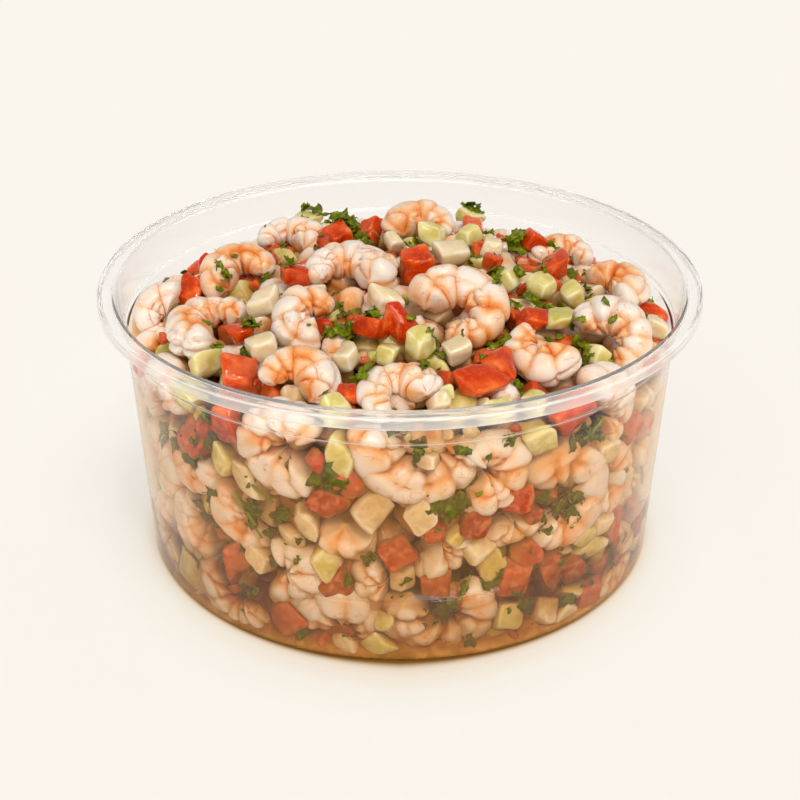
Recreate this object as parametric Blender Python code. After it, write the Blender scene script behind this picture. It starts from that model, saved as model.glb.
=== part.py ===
"""Shrimp ceviche heaped in a round clear plastic deli tub, at real size.

Metres, +Z up.  The tub stands on z = 0 with its axis on Z, and -Y is its front.
Cloudy juice fills the bottom of the tub.  The salad above it is one heap with an
uneven top.  The shrimp and the diced vegetables that lie on that top are solids of
their own, each bedded in a nest cut into the heap.
"""

import math

import bmesh
import bpy
from mathutils import Matrix, Vector, noise

MM = 0.001

# Tub
RIM_RADIUS = 58.5 * MM
TUB_HEIGHT = 55.2 * MM
WALL = 0.6 * MM
FLANGE_WIDTH = 3.4 * MM
FLANGE_THICKNESS = 0.8 * MM
LIP_HEIGHT = 2.4 * MM
LIP_THICKNESS = 0.7 * MM
LIP_ROUNDING = 0.35 * MM
LEDGE_HEIGHT = 47.2 * MM
LEDGE_STEP = 0.6 * MM
LEDGE_RADIUS = 53.7 * MM
FOOT_RADIUS = 51.2 * MM
CORNER_RADIUS = 1.2 * MM
CORNER_STEPS = 3
TUB_SEGMENTS = 52

# Contents
GAP = 0.3 * MM
NEST_CLEARANCE = 0.36 * MM
JUICE_LEVEL = 14.0 * MM
CROWN_HEIGHT = 57.6 * MM
EDGE_HEIGHT = 45.0 * MM
EDGE_SLOPE = 3.5 * MM
MOUND_POWER = 2.4
HEAP_SEGMENTS = 40
HEAP_RINGS = 7
LUMP_HEIGHT = 1.1 * MM
LUMP_SPACING = 8.0 * MM

# Shrimp
SEGMENTS_PER_SHRIMP = 6
STATIONS_IN_SEGMENT = ((0.0, 0.90), (0.3, 1.0), (0.7, 1.0))
SHRIMP_SIDES = 7
TIP_LENGTH = 0.6
SHRIMP_FLATNESS = 0.9
TAIL_TAPER = 0.40
SPIRAL_TIGHTENING = 0.25
BLUNT_LENGTH = 0.07
BLUNT_SHARE = 0.45

# Name: x, y, lift of the curl's centre over the mound, direction of the opening,
# tilt of the far side upwards, tilt of the left side upwards, radius of the curl,
# half thickness of the body, sweep of the curl, hand.  Millimetres and degrees.
SHRIMP = {
    "shrimp_01": (-10.4, -8.0, 2.0, -95, 4, 0, 6.0, 4.1, 240, 1),
    "shrimp_02": (11.0, -22.8, 1.8, 205, 32, 0, 6.2, 4.1, 285, -1),
    "shrimp_03": (-16.0, -24.0, 2.0, -20, 26, 8, 4.4, 3.7, 250, -1),
    "shrimp_04": (-34.0, -20.6, 1.8, -30, 4, -6, 6.0, 4.0, 240, -1),
    "shrimp_05": (-45.3, -8.2, 1.2, -20, 50, 10, 3.8, 3.4, 200, 1),
    "shrimp_06": (-30.6, -0.6, 1.4, -60, 20, 0, 4.9, 3.8, 230, -1),
    "shrimp_07": (-18.4, -40.6, 1.2, -110, 30, 8, 4.6, 4.0, 230, 1),
    "shrimp_08": (-0.6, -44.4, 0.6, -50, 12, 0, 5.0, 3.4, 240, 1),
    "shrimp_09": (24.8, -31.6, 2.0, 50, 34, -8, 4.3, 3.7, 235, -1),
    "shrimp_10": (38.8, -22.8, 1.6, 215, 50, -14, 5.2, 3.8, 235, -1),
    "shrimp_11": (4.6, 17.0, 2.0, -90, 10, 0, 4.7, 3.7, 240, -1),
    "shrimp_12": (41.0, 0.0, 1.6, -150, 14, -6, 4.4, 4.0, 220, 1),
    "shrimp_13": (-23.2, 17.6, 1.0, -100, 8, 0, 4.8, 3.4, 230, 1),
    "shrimp_14": (33.6, 14.2, 1.0, -90, 10, 0, 4.3, 3.3, 235, -1),
}

# Name: x, y, lift over the mound, turn about Z, tilt, width, depth, height.
TOMATO = {
    "tomato_01": (3.2, -4.2, 1.4, 20, 12, 5.8, 5.4, 5.4),
    "tomato_02": (0.4, -27.6, 2.0, 28, 14, 5.0, 4.8, 4.8),
    "tomato_03": (-28.4, -36.4, 0.8, 10, 18, 6.4, 6.0, 5.6),
    "tomato_04": (14.0, -41.4, 1.0, 30, 20, 7.2, 6.0, 5.2),
    "tomato_05": (-13.0, 11.8, 1.6, 50, 25, 5.8, 5.0, 4.8),
}
CUCUMBER = {
    "cucumber_01": (3.6, -33.8, 2.5, 25, 14, 5.0, 4.8, 4.7),
    "cucumber_02": (29.2, -20.6, 1.4, 10, 12, 5.0, 5.0, 4.6),
}
ONION = {
    "onion_01": (-2.6, -19.0, 1.6, 15, 15, 5.2, 4.8, 4.4),
}
DICE_BEVEL = 0.16
DICE_BEVEL_STEPS = 1
DICE_SKEW = 0.12
LEAN_PER_TILT = 0.5

# Mesh
SHARP_ANGLE = math.radians(40)
MERGE_DISTANCE = 0.01 * MM

# Name: colour, roughness, metallic, transmission.
MATERIALS = {
    "clear_plastic": ((0.93, 0.94, 0.94), 0.08, 0.0, 0.9),
    "cloudy_juice": ((0.50, 0.34, 0.16), 0.15, 0.0, 0.2),
    "salad_mix": ((0.62, 0.42, 0.28), 0.40, 0.0, 0.0),
    "cooked_shrimp": ((0.90, 0.58, 0.42), 0.32, 0.0, 0.0),
    "tomato_flesh": ((0.70, 0.08, 0.04), 0.22, 0.0, 0.0),
    "cucumber_flesh": ((0.72, 0.72, 0.36), 0.28, 0.0, 0.0),
    "onion_flesh": ((0.86, 0.84, 0.72), 0.25, 0.0, 0.0),
}


def clear_scene():
    for item in list(bpy.data.objects):
        bpy.data.objects.remove(item, do_unlink=True)


def make_material(name):
    colour, roughness, metallic, transmission = MATERIALS[name]
    material = bpy.data.materials.new(name)
    material.use_nodes = True
    shader = material.node_tree.nodes["Principled BSDF"]
    shader.inputs["Base Color"].default_value = (*colour, 1.0)
    shader.inputs["Roughness"].default_value = roughness
    shader.inputs["Metallic"].default_value = metallic
    shader.inputs["Transmission Weight"].default_value = transmission
    return material


def make_object(name, mesh_builder, material):
    """Turn a bmesh into a smooth-shaded object with one material."""
    bmesh.ops.recalc_face_normals(mesh_builder, faces=mesh_builder.faces)
    mesh = bpy.data.meshes.new(name)
    mesh_builder.to_mesh(mesh)
    mesh_builder.free()
    mesh.materials.append(material)
    mesh.shade_smooth()
    mesh.set_sharp_from_angle(angle=SHARP_ANGLE)
    item = bpy.data.objects.new(name, mesh)
    bpy.context.scene.collection.objects.link(item)
    return item


def turned_solid(outline, segments):
    """Spin an outline of (radius, height) points, both ends on the axis, about Z."""
    builder = bmesh.new()
    points = [builder.verts.new((radius, 0.0, height)) for radius, height in outline]
    edges = [builder.edges.new(pair) for pair in zip(points, points[1:])]
    bmesh.ops.spin(
        builder,
        geom=points + edges,
        cent=(0, 0, 0),
        axis=(0, 0, 1),
        angle=math.tau,
        steps=segments,
        use_merge=True,
    )
    bmesh.ops.remove_doubles(builder, verts=builder.verts, dist=MERGE_DISTANCE)
    return builder


def arc(centre_radius, centre_height, radius, start, end, steps):
    """Points of an arc in the (radius, height) plane; angles in radians."""
    return [
        (
            centre_radius + radius * math.cos(start + (end - start) * i / steps),
            centre_height + radius * math.sin(start + (end - start) * i / steps),
        )
        for i in range(steps + 1)
    ]


WALL_SLOPE = (LEDGE_RADIUS - FOOT_RADIUS) / LEDGE_HEIGHT
DRAFT = math.atan(WALL_SLOPE)
CORNER_CENTRE = FOOT_RADIUS + WALL_SLOPE * CORNER_RADIUS - CORNER_RADIUS / math.cos(DRAFT)


def wall_radius(height, inset):
    """Radius of the lower wall's outer face at a height, less an inset square to it."""
    return FOOT_RADIUS + WALL_SLOPE * height - inset / math.cos(DRAFT)


def corner_arc(inset):
    """The rounded bottom corner, from the floor to the wall, set in by an inset."""
    return arc(
        CORNER_CENTRE, CORNER_RADIUS, CORNER_RADIUS - inset, -math.pi / 2, -DRAFT, CORNER_STEPS
    )


def build_tub(material):
    flange_inner = RIM_RADIUS - FLANGE_WIDTH
    flange_under = TUB_HEIGHT - FLANGE_THICKNESS
    lip_bottom = TUB_HEIGHT - LIP_HEIGHT
    lip_inner = RIM_RADIUS - LIP_THICKNESS
    outside = [(0.0, 0.0)]
    outside += corner_arc(0.0)
    outside += [
        (LEDGE_RADIUS, LEDGE_HEIGHT),
        (LEDGE_RADIUS + LEDGE_STEP, LEDGE_HEIGHT + LEDGE_STEP),
        (flange_inner + WALL, flange_under),
        (lip_inner, flange_under),
        (lip_inner, lip_bottom),
        (RIM_RADIUS, lip_bottom),
        (RIM_RADIUS, TUB_HEIGHT - LIP_ROUNDING),
        (RIM_RADIUS - LIP_ROUNDING, TUB_HEIGHT),
    ]
    inside = [
        (flange_inner + LIP_ROUNDING, TUB_HEIGHT),
        (flange_inner, TUB_HEIGHT - LIP_ROUNDING),
        (LEDGE_RADIUS + LEDGE_STEP - WALL, LEDGE_HEIGHT + LEDGE_STEP),
        (wall_radius(LEDGE_HEIGHT, WALL), LEDGE_HEIGHT),
    ]
    inside += reversed(corner_arc(WALL))
    inside.append((0.0, WALL))
    return make_object("tub", turned_solid(outside + inside, TUB_SEGMENTS), material)


def build_juice(material):
    outline = [(0.0, WALL + GAP)]
    outline += corner_arc(WALL + GAP)
    outline += [
        (wall_radius(JUICE_LEVEL, WALL + GAP), JUICE_LEVEL),
        (0.0, JUICE_LEVEL),
    ]
    return make_object("juice", turned_solid(outline, HEAP_SEGMENTS), material)


def edge_height(angle):
    """Height at which the heap meets the wall: higher at the front than at the back."""
    return EDGE_HEIGHT - EDGE_SLOPE * math.sin(angle)


def mound_height(x, y):
    """Height of the heap's top, without its lumps."""
    reach = min(1.0, math.hypot(x, y) / wall_radius(EDGE_HEIGHT, WALL))
    fall = reach**MOUND_POWER
    return CROWN_HEIGHT * (1.0 - fall) + edge_height(math.atan2(y, x)) * fall


def lumpy_height(x, y):
    lump = noise.noise(Vector((x, y, 0.0)) / LUMP_SPACING)
    return mound_height(x, y) + LUMP_HEIGHT * lump


def ring_of_points(builder, radius, height_at):
    """A ring of vertices; height_at gives the height at (x, y)."""
    ring = []
    for i in range(HEAP_SEGMENTS):
        angle = math.tau * i / HEAP_SEGMENTS
        x = radius * math.cos(angle)
        y = radius * math.sin(angle)
        ring.append(builder.verts.new((x, y, height_at(x, y))))
    return ring


def join_rings(builder, lower, upper):
    count = len(lower)
    for i in range(count):
        j = (i + 1) % count
        builder.faces.new((lower[i], lower[j], upper[j], upper[i]))


def close_ring(builder, ring, tip):
    """Close a ring with a fan of triangles to a tip."""
    point = builder.verts.new(tip)
    for i, vertex in enumerate(ring):
        builder.faces.new((vertex, ring[(i + 1) % len(ring)], point))


def build_heap(material):
    base = JUICE_LEVEL + GAP
    inset = WALL + GAP
    edge_radius = wall_radius(EDGE_HEIGHT - EDGE_SLOPE, inset)
    builder = bmesh.new()
    rings = [ring_of_points(builder, wall_radius(base, inset), lambda x, y: base)]
    for step in range(HEAP_RINGS):
        radius = edge_radius * (1.0 - step / HEAP_RINGS)
        rings.append(ring_of_points(builder, radius, lumpy_height))
    for lower, upper in zip(rings, rings[1:]):
        join_rings(builder, lower, upper)
    close_ring(builder, rings[0], (0.0, 0.0, base))
    close_ring(builder, rings[-1], (0.0, 0.0, lumpy_height(0.0, 0.0)))
    return make_object("ceviche", builder, material)


def shrimp_stations():
    """Places along the body from head end (0) to tail end (1), each with its swell."""
    stations = []
    for segment in range(SEGMENTS_PER_SHRIMP):
        for part, swell in STATIONS_IN_SEGMENT:
            stations.append(((segment + part) / SEGMENTS_PER_SHRIMP, swell))
    return stations[1:] + [(1.0, 1.0)]


def body_radius(along, girth):
    """Half thickness of the body: blunt at both ends, and slimmer towards the tail."""
    radius = girth * (1.0 - TAIL_TAPER * along)
    from_end = min(along, 1.0 - along)
    if from_end < BLUNT_LENGTH:
        part = 1.0 - from_end / BLUNT_LENGTH
        radius *= 1.0 - BLUNT_SHARE + BLUNT_SHARE * math.sqrt(max(0.0, 1.0 - part * part))
    return radius


def shrimp_mesh(curl, girth, sweep, hand, growth):
    """A peeled shrimp curled in the XY plane about the origin, opening towards +X."""
    builder = bmesh.new()
    rings = []
    start = math.pi - sweep / 2
    tips = []
    for along, swell in shrimp_stations():
        angle = start + sweep * along
        distance = curl * (1.0 - SPIRAL_TIGHTENING * along)
        outward = Vector((math.cos(angle), hand * math.sin(angle), 0.0))
        centre = outward * distance
        radius = body_radius(along, girth) * swell + growth
        ring = []
        for side in range(SHRIMP_SIDES):
            around = math.tau * side / SHRIMP_SIDES
            offset = outward * (radius * math.cos(around))
            offset.z = radius * SHRIMP_FLATNESS * math.sin(around)
            ring.append(builder.verts.new(centre + offset))
        rings.append(ring)
        onward = Vector((-outward.y, outward.x, 0.0)) * hand
        tips.append((centre, onward * (radius * TIP_LENGTH + growth)))
    for first, second in zip(rings, rings[1:]):
        join_rings(builder, first, second)
    head_centre, head_step = tips[0]
    tail_centre, tail_step = tips[-1]
    close_ring(builder, rings[0], head_centre - head_step)
    close_ring(builder, rings[-1], tail_centre + tail_step)
    return builder


def placing(x, y, lift, turn, tilt, lean):
    """Matrix that sets a piece on the mound."""
    height = mound_height(x, y) + lift
    return (
        Matrix.Translation((x, y, height))
        @ Matrix.Rotation(tilt, 4, "X")
        @ Matrix.Rotation(lean, 4, "Y")
        @ Matrix.Rotation(turn, 4, "Z")
    )


def shrimp_parts(values, growth):
    """Mesh builder and placing matrix of one shrimp; growth fattens it."""
    x, y, lift, opening, tilt, lean, curl, girth, sweep, hand = values
    builder = shrimp_mesh(curl * MM, girth * MM, math.radians(sweep), hand, growth)
    matrix = placing(
        x * MM, y * MM, lift * MM, math.radians(opening), math.radians(tilt), math.radians(lean)
    )
    return builder, matrix


def dice_parts(values, growth):
    """Mesh builder and placing matrix of one diced piece: a skewed block with soft edges."""
    x, y, lift, turn, tilt, width, depth, height = values
    builder = bmesh.new()
    bmesh.ops.create_cube(builder, size=1.0)
    sizes = Vector((width, depth, height)) * MM + Vector((1, 1, 1)) * 2 * growth
    for vertex in builder.verts:
        skew = 1.0 + DICE_SKEW * math.copysign(1.0, vertex.co.z * vertex.co.x)
        vertex.co = Vector(
            (vertex.co.x * sizes.x, vertex.co.y * sizes.y * skew, vertex.co.z * sizes.z)
        )
    bmesh.ops.bevel(
        builder,
        geom=builder.edges[:] + builder.verts[:],
        offset=DICE_BEVEL * min(sizes),
        offset_type="OFFSET",
        segments=DICE_BEVEL_STEPS,
        profile=0.5,
        affect="EDGES",
    )
    tilt = math.radians(tilt)
    matrix = placing(
        x * MM, y * MM, lift * MM, math.radians(turn), tilt, tilt * LEAN_PER_TILT
    )
    return builder, matrix


def build_topping(name, parts_of, values, material):
    builder, matrix = parts_of(values, 0.0)
    item = make_object(name, builder, material)
    item.matrix_world = matrix
    return item


def cut_nest(heap, name, parts_of, values):
    """Cut a nest into the heap, a clearance larger all round than the piece that lies in it."""
    builder, matrix = parts_of(values, NEST_CLEARANCE)
    cutter = make_object(f"nest_of_{name}", builder, heap.data.materials[0])
    cutter.matrix_world = matrix
    cutter.hide_render = True
    cutter.display_type = "WIRE"
    cut = heap.modifiers.new(cutter.name, "BOOLEAN")
    cut.operation = "DIFFERENCE"
    cut.solver = "EXACT"
    cut.object = cutter


def main():
    clear_scene()
    materials = {name: make_material(name) for name in MATERIALS}
    build_tub(materials["clear_plastic"])
    build_juice(materials["cloudy_juice"])
    heap = build_heap(materials["salad_mix"])
    kinds = (
        (SHRIMP, shrimp_parts, "cooked_shrimp"),
        (TOMATO, dice_parts, "tomato_flesh"),
        (CUCUMBER, dice_parts, "cucumber_flesh"),
        (ONION, dice_parts, "onion_flesh"),
    )
    for table, parts_of, material in kinds:
        for name, values in table.items():
            build_topping(name, parts_of, values, materials[material])
            cut_nest(heap, name, parts_of, values)


main()
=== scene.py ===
"""Looks of the shrimp ceviche in its clear tub: real pieces of food over a small core."""

import math

import bpy
import numpy as np
from mathutils import Matrix, Vector
from mathutils.bvhtree import BVHTree


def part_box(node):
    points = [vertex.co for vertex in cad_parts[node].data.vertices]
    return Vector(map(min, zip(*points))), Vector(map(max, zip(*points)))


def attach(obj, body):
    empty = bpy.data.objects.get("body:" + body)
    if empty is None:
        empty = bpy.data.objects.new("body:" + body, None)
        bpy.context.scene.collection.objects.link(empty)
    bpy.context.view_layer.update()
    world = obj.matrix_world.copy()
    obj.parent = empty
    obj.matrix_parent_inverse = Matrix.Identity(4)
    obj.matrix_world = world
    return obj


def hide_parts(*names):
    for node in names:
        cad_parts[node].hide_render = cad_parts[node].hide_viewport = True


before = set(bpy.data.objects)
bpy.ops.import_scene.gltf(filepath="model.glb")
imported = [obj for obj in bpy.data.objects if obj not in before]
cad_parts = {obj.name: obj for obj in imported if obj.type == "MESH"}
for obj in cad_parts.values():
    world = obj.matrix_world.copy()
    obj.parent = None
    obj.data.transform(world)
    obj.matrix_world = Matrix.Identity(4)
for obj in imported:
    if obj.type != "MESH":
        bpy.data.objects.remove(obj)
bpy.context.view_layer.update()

MM = 0.001
SEED = 20

# ---------------------------------------------------------------- sizes, in millimetres
tub_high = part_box("tub")[1]
RIM_RADIUS = tub_high.x / MM
TUB_HEIGHT = tub_high.z / MM
WALL = 0.6
FLANGE_WIDTH = 3.4
FLANGE_THICKNESS = 0.8
LIP_HEIGHT = 2.4
LIP_THICKNESS = 0.7
LEDGE_HEIGHT = 47.2
LEDGE_STEP = 0.6
LEDGE_RADIUS = 53.7
FOOT_RADIUS = 51.2
CORNER_RADIUS = 1.2
WALL_SLOPE = (LEDGE_RADIUS - FOOT_RADIUS) / LEDGE_HEIGHT
DRAFT = math.atan(WALL_SLOPE)
CORNER_CENTRE = FOOT_RADIUS + WALL_SLOPE * CORNER_RADIUS - CORNER_RADIUS / math.cos(DRAFT)
INTO_WALL = 0.3
FOOD_FLOOR = 0.4
PRESS_SOFTNESS = 0.6

JUICE_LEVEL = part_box("juice")[1].z / MM
CROWN_HEIGHT = 57.6
EDGE_HEIGHT = 45.0
EDGE_SLOPE = 3.5
MOUND_RADIUS = 52.9
MOUND_POWER = 2.4
BODY = "root"


def inner_radius(height, inset=WALL):
    """Radius at each height of the tub's inner face, or of a face inset from the outer one."""
    height = np.asarray(height, float)
    lower = FOOT_RADIUS + WALL_SLOPE * height - inset / math.cos(DRAFT)
    upper = np.interp(
        height,
        (LEDGE_HEIGHT, LEDGE_HEIGHT + LEDGE_STEP, TUB_HEIGHT),
        (LEDGE_RADIUS - inset, LEDGE_RADIUS + WALL - inset, RIM_RADIUS - FLANGE_WIDTH + WALL - inset),
    )
    turn = CORNER_RADIUS - inset
    drop = np.clip(CORNER_RADIUS - height, 0.0, turn)
    corner = CORNER_CENTRE + np.sqrt(turn**2 - drop**2)
    return np.where(height < CORNER_RADIUS, corner, np.where(height < LEDGE_HEIGHT, lower, upper))


def mound_height(x, y):
    """Height of the heap's top."""
    fall = np.minimum(1.0, np.hypot(x, y) / MOUND_RADIUS) ** MOUND_POWER
    edge = EDGE_HEIGHT - EDGE_SLOPE * np.sin(np.arctan2(y, x))
    return CROWN_HEIGHT * (1.0 - fall) + edge * fall


# ---------------------------------------------------------------- noise and meshes
def lattice(cell, seed):
    """A repeatable value from -1 to 1 for each whole-numbered cell."""
    mixed = cell[..., 0] * 73856093 ^ cell[..., 1] * 19349663 ^ cell[..., 2] * 83492791
    mixed = (mixed ^ (seed * 2654435761)) & 0xFFFFFFFF
    mixed = ((mixed ^ (mixed >> 13)) * 1274126177) & 0xFFFFFFFF
    mixed = (mixed ^ (mixed >> 16)) & 0xFFFF
    return mixed / 32767.5 - 1.0


def smooth_noise(points, scale, seed):
    """Smooth noise from -1 to 1 at points, with features about scale across."""
    place = np.asarray(points, float) / scale
    base = np.floor(place).astype(np.int64)
    part = place - base
    part = part * part * (3.0 - 2.0 * part)
    total = np.zeros(len(place))
    for corner in range(8):
        step = np.array([(corner >> k) & 1 for k in range(3)])
        weight = np.prod(np.where(step == 1, part, 1.0 - part), axis=1)
        total += weight * lattice(base + step, seed)
    return total


def circle(sides):
    """Angles of evenly spaced points round a circle."""
    return math.tau * np.arange(sides) / sides


def polar(reach, turn):
    """The x and y of a point at a distance from the axis and an angle in radians."""
    return reach * math.cos(turn), reach * math.sin(turn)


def ring_at(radius, height, turn):
    """Points of a level circle round the tub's axis, at each angle."""
    return np.stack([radius * np.cos(turn), radius * np.sin(turn), height + 0.0 * turn], 1)


def fan(ring, tip, flip):
    """Triangles that close a ring of point numbers to a tip."""
    after = np.roll(ring, -1)
    pair = (after, ring) if flip else (ring, after)
    return np.stack([pair[0], pair[1], np.full(len(ring), tip)], 1)


def tube_triangles(rows, columns):
    """Triangles of a closed tube: rows rings of columns points, and after them its end points."""
    row, column = np.arange(rows - 1)[:, None] * columns, np.arange(columns)[None, :]
    after = (column + 1) % columns
    a, b = (row + column).ravel(), (row + after).ravel()
    c, d = (row + columns + after).ravel(), (row + columns + column).ravel()
    ring, last = np.arange(columns), rows * columns
    return np.concatenate([
        np.stack([a, b, c], 1), np.stack([a, c, d], 1),
        fan(ring, last, True), fan(ring + last - columns, last + 1, False),
    ])


def outward(points, triangles):
    """Turn the triangles round if the closed mesh they make is inside out."""
    a, b, c = (points[triangles[:, k]] for k in range(3))
    if np.einsum("ij,ij->", a, np.cross(b, c)) < 0:
        return triangles[:, ::-1]
    return triangles


def join(parts):
    """Join (points, triangles, values) parts into one."""
    triangles, count = [], 0
    for part in parts:
        triangles.append(part[1] + count)
        count += len(part[0])
    values = {key: np.concatenate([part[2][key] for part in parts]) for key in parts[0][2]}
    return np.concatenate([part[0] for part in parts]), np.concatenate(triangles), values


def scene_object(name, data):
    """A new object in the scene."""
    item = bpy.data.objects.new(name, data)
    bpy.context.scene.collection.objects.link(item)
    return item


def mesh_object(name, points, triangles, values=None):
    """A smooth mesh object from points in millimetres, with a float value at each point."""
    mesh = bpy.data.meshes.new(name)
    mesh.vertices.add(len(points))
    mesh.vertices.foreach_set("co", (np.asarray(points) * MM).astype(np.float32).ravel())
    mesh.loops.add(triangles.size)
    mesh.loops.foreach_set("vertex_index", triangles.astype(np.int32).ravel())
    mesh.polygons.add(len(triangles))
    mesh.polygons.foreach_set("loop_start", np.arange(0, triangles.size, 3, dtype=np.int32))
    mesh.polygons.foreach_set("use_smooth", np.ones(len(triangles), bool))
    mesh.update(calc_edges=True)
    for key, amounts in (values or {}).items():
        layer = mesh.attributes.new(key, "FLOAT", "POINT")
        layer.data.foreach_set("value", np.asarray(amounts, np.float32))
    return scene_object(name, mesh)


# ---------------------------------------------------------------- shrimp
SEGMENT_LENGTHS = np.array([0.85, 0.95, 1.0, 1.0, 0.95, 0.85, 0.7, 0.55])
SEGMENT_SIZE = 2.8
TAIL_TAPER = 0.46
WALL_TAPER = 0.34
SPIRAL_TIGHTENING = 0.25
BACK_TO_BELLY = 1.10
SIDE_TO_SIDE = 0.95
BLUNT_END = 0.22
HEAD_PART = 0.36
CROSS_CREASE, CROSS_WIDTH = 0.36, 1.7
LONG_CREASE, LONG_WIDTH = 0.24, 1.8
FAR_FROM_CREASE = 9.0


def shrimp_centre(along, spec):
    """Centreline and outward direction of the curled body; opens towards +X."""
    curl, sweep, hand = spec["curl"], math.radians(spec["sweep"]), spec["hand"]
    angle = math.pi - sweep / 2 + sweep * along
    distance = curl * (1.0 - SPIRAL_TIGHTENING * along)
    out = np.stack([np.cos(angle), hand * np.sin(angle), np.zeros_like(angle)], -1)
    centre = out * distance[..., None]
    centre[..., 2] += spec["rise"] * (along - 0.5)
    return centre, out


def body_radius(along, spec):
    """Half thickness: blunt at the head end, slimmer towards the tail."""
    radius = spec["girth"] * (1.0 - spec["taper"] * along**1.7)
    for end in (along / 0.10, (1.0 - along) / 0.08):
        part = np.clip(end, 0.0, 1.0)
        radius = radius * (BLUNT_END + (1.0 - BLUNT_END) * np.sqrt(1.0 - (1.0 - part) ** 2))
    return radius


def dome(distance, reach):
    """Rounded step from 0 in a crease to 1 on the crown of a muscle lobe."""
    return 1.0 - (1.0 - np.clip(distance / reach, 0.0, 1.0)) ** 2.2


def cross_creases(u, a, spec, length, wobble, swing, seed, rng):
    """Creases across the body: each point's distance to one, its depth, and the segment."""
    segments = int(np.clip(round(length / SEGMENT_SIZE), 4, 8))
    lengths = np.interp(np.linspace(0, 1, segments), np.linspace(0, 1, 8), SEGMENT_LENGTHS)
    joints = np.cumsum(lengths * rng.uniform(0.72, 1.3, segments))
    joints = joints / joints[-1]
    place = u + 0.020 * np.cos(a) * rng.choice([-1.0, 1.0]) + 0.020 * wobble + 0.016 * swing
    edges = np.concatenate([[-1.0], joints[:-1], [2.0]])
    segment = np.clip(np.searchsorted(joints[:-1], place), 0, len(joints) - 1)
    stretch = np.clip(1.0 + spec["girth"] * np.cos(a) / spec["curl"], 0.30, 1.7)
    back_gap = (place - edges[segment]) * length * stretch
    front_gap = (edges[segment + 1] - place) * length * stretch
    nearest = np.where(back_gap < front_gap, segment, segment + 1)
    # deep on the pinched inner side, at every second joint most of all, and faint along the back
    depth = rng.uniform(0.35, 1.15, len(edges))[nearest]
    pairs = np.where((np.arange(len(edges)) + seed) % 2 == 0, 1.0, 0.30)[nearest]
    belly = 0.5 - 0.5 * np.cos(a)
    depth = depth * (0.50 + 0.66 * pairs * belly**0.7) * (1.0 + 0.5 * swing)
    return np.minimum(back_gap, front_gap), np.clip(depth, 0.08, 1.2), segment, len(joints), belly


def long_creases(a, radius, segment, count, wobble, rng):
    """Distance to the creases along the body: back slit, flanks, knuckles and head lobes."""
    at_head = np.linspace(0, 1, count) < HEAD_PART
    slit = np.full(count, rng.choice([0.0, 0.9]))
    slit[-2:] = 0.0
    creases = [(0.12 * rng.normal(size=count), slit)]

    def add(side, angle, spread, strength):
        creases.append((side * (angle + spread * rng.normal(size=count)), strength))

    for side in (-1.0, 1.0):
        flank = rng.choice([0.9, 0.5, 0.05], count, p=[0.42, 0.28, 0.30])
        add(side, 1.72, 0.20, np.where(at_head, 0.9, flank))
        add(side, 0.80, 0.18, np.where(at_head, rng.choice([1.0, 0.5, 0.0], count, p=[0.5, 0.2, 0.3]), 0.0))
        add(side, 2.45, 0.16, rng.choice([0.8, 0.0], count, p=[0.3, 0.7]))
    nearest = np.full(a.shape, FAR_FROM_CREASE)
    for angles, strengths in creases:
        apart = (a - angles[segment] + math.pi) % math.tau - math.pi + 0.22 * wobble
        strength = strengths[segment]
        reach = np.abs(apart) * radius / np.maximum(strength, 0.05)
        nearest = np.minimum(nearest, np.where(strength > 0.1, reach, FAR_FROM_CREASE))
    return nearest


def shrimp_body(spec, stations, sides, rng):
    """A peeled, deveined shrimp: segments and muscle lobes with uneven creases between them."""
    seed = int(rng.integers(1, 10_000))
    u, a = np.meshgrid(np.linspace(0.0, 1.0, stations), circle(sides), indexing="ij")
    girth = spec["girth"]
    centre, out = shrimp_centre(u, spec)
    radius = body_radius(u, spec)
    length = spec["curl"] * (1.0 - SPIRAL_TIGHTENING / 2) * math.radians(spec["sweep"])
    spot = np.stack([u.ravel() * length, np.cos(a).ravel() * girth, np.sin(a).ravel() * girth], 1)
    wobble, fine, blush, swing = (
        smooth_noise(spot, scale, seed + k).reshape(u.shape)
        for scale, k in ((2.8, 0), (1.1, 1), (4.2, 2), (5.5, 4))
    )
    from_joint, depth, segment, count, belly = cross_creases(
        u, a, spec, length, wobble, swing, seed, rng)
    from_lobe = long_creases(a, radius, segment, count, wobble, rng)
    across, lengthwise = dome(from_joint, CROSS_WIDTH), dome(from_lobe, LONG_WIDTH)
    relief = 1.0 - CROSS_CREASE * depth * (1.0 - across) - LONG_CREASE * (1.0 - lengthwise)
    relief += 0.055 * wobble + 0.012 * fine
    swell = 1.0 + (0.055 * rng.normal(size=count))[segment] * across * lengthwise
    reach = radius * relief * swell
    points = centre + out * (BACK_TO_BELLY * reach * np.cos(a))[..., None]
    points[..., 2] += reach * SIDE_TO_SIDE * np.sin(a)
    head = centre[0, 0] - onward(centre[:2, 0]) * girth * 0.20
    tail = centre[-1, 0] + onward(centre[-2:, 0]) * girth * 0.12
    points = np.concatenate([points.reshape(-1, 3), head[None], tail[None]])
    values = {
        "gap": with_ends(np.minimum(np.minimum(from_joint / depth, from_lobe), 3.0)),
        "lobe": with_ends(across * (1.0 - 0.5 * (1.0 - depth.clip(0, 1))) * lengthwise),
        "belly": with_ends(belly),
        "blush": with_ends(blush),
        "tone": np.full(len(points), rng.uniform(0.0, 1.0)),
    }
    return points, outward(points, tube_triangles(stations, sides)), values


def onward(pair):
    """Direction from the first of two points to the second."""
    step = pair[1] - pair[0]
    return step / np.linalg.norm(step)


def with_ends(field):
    """Values on the body's grid, with the two end tips added."""
    return np.concatenate([field.reshape(-1), [field[0].mean(), field[-1].mean()]])


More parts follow.
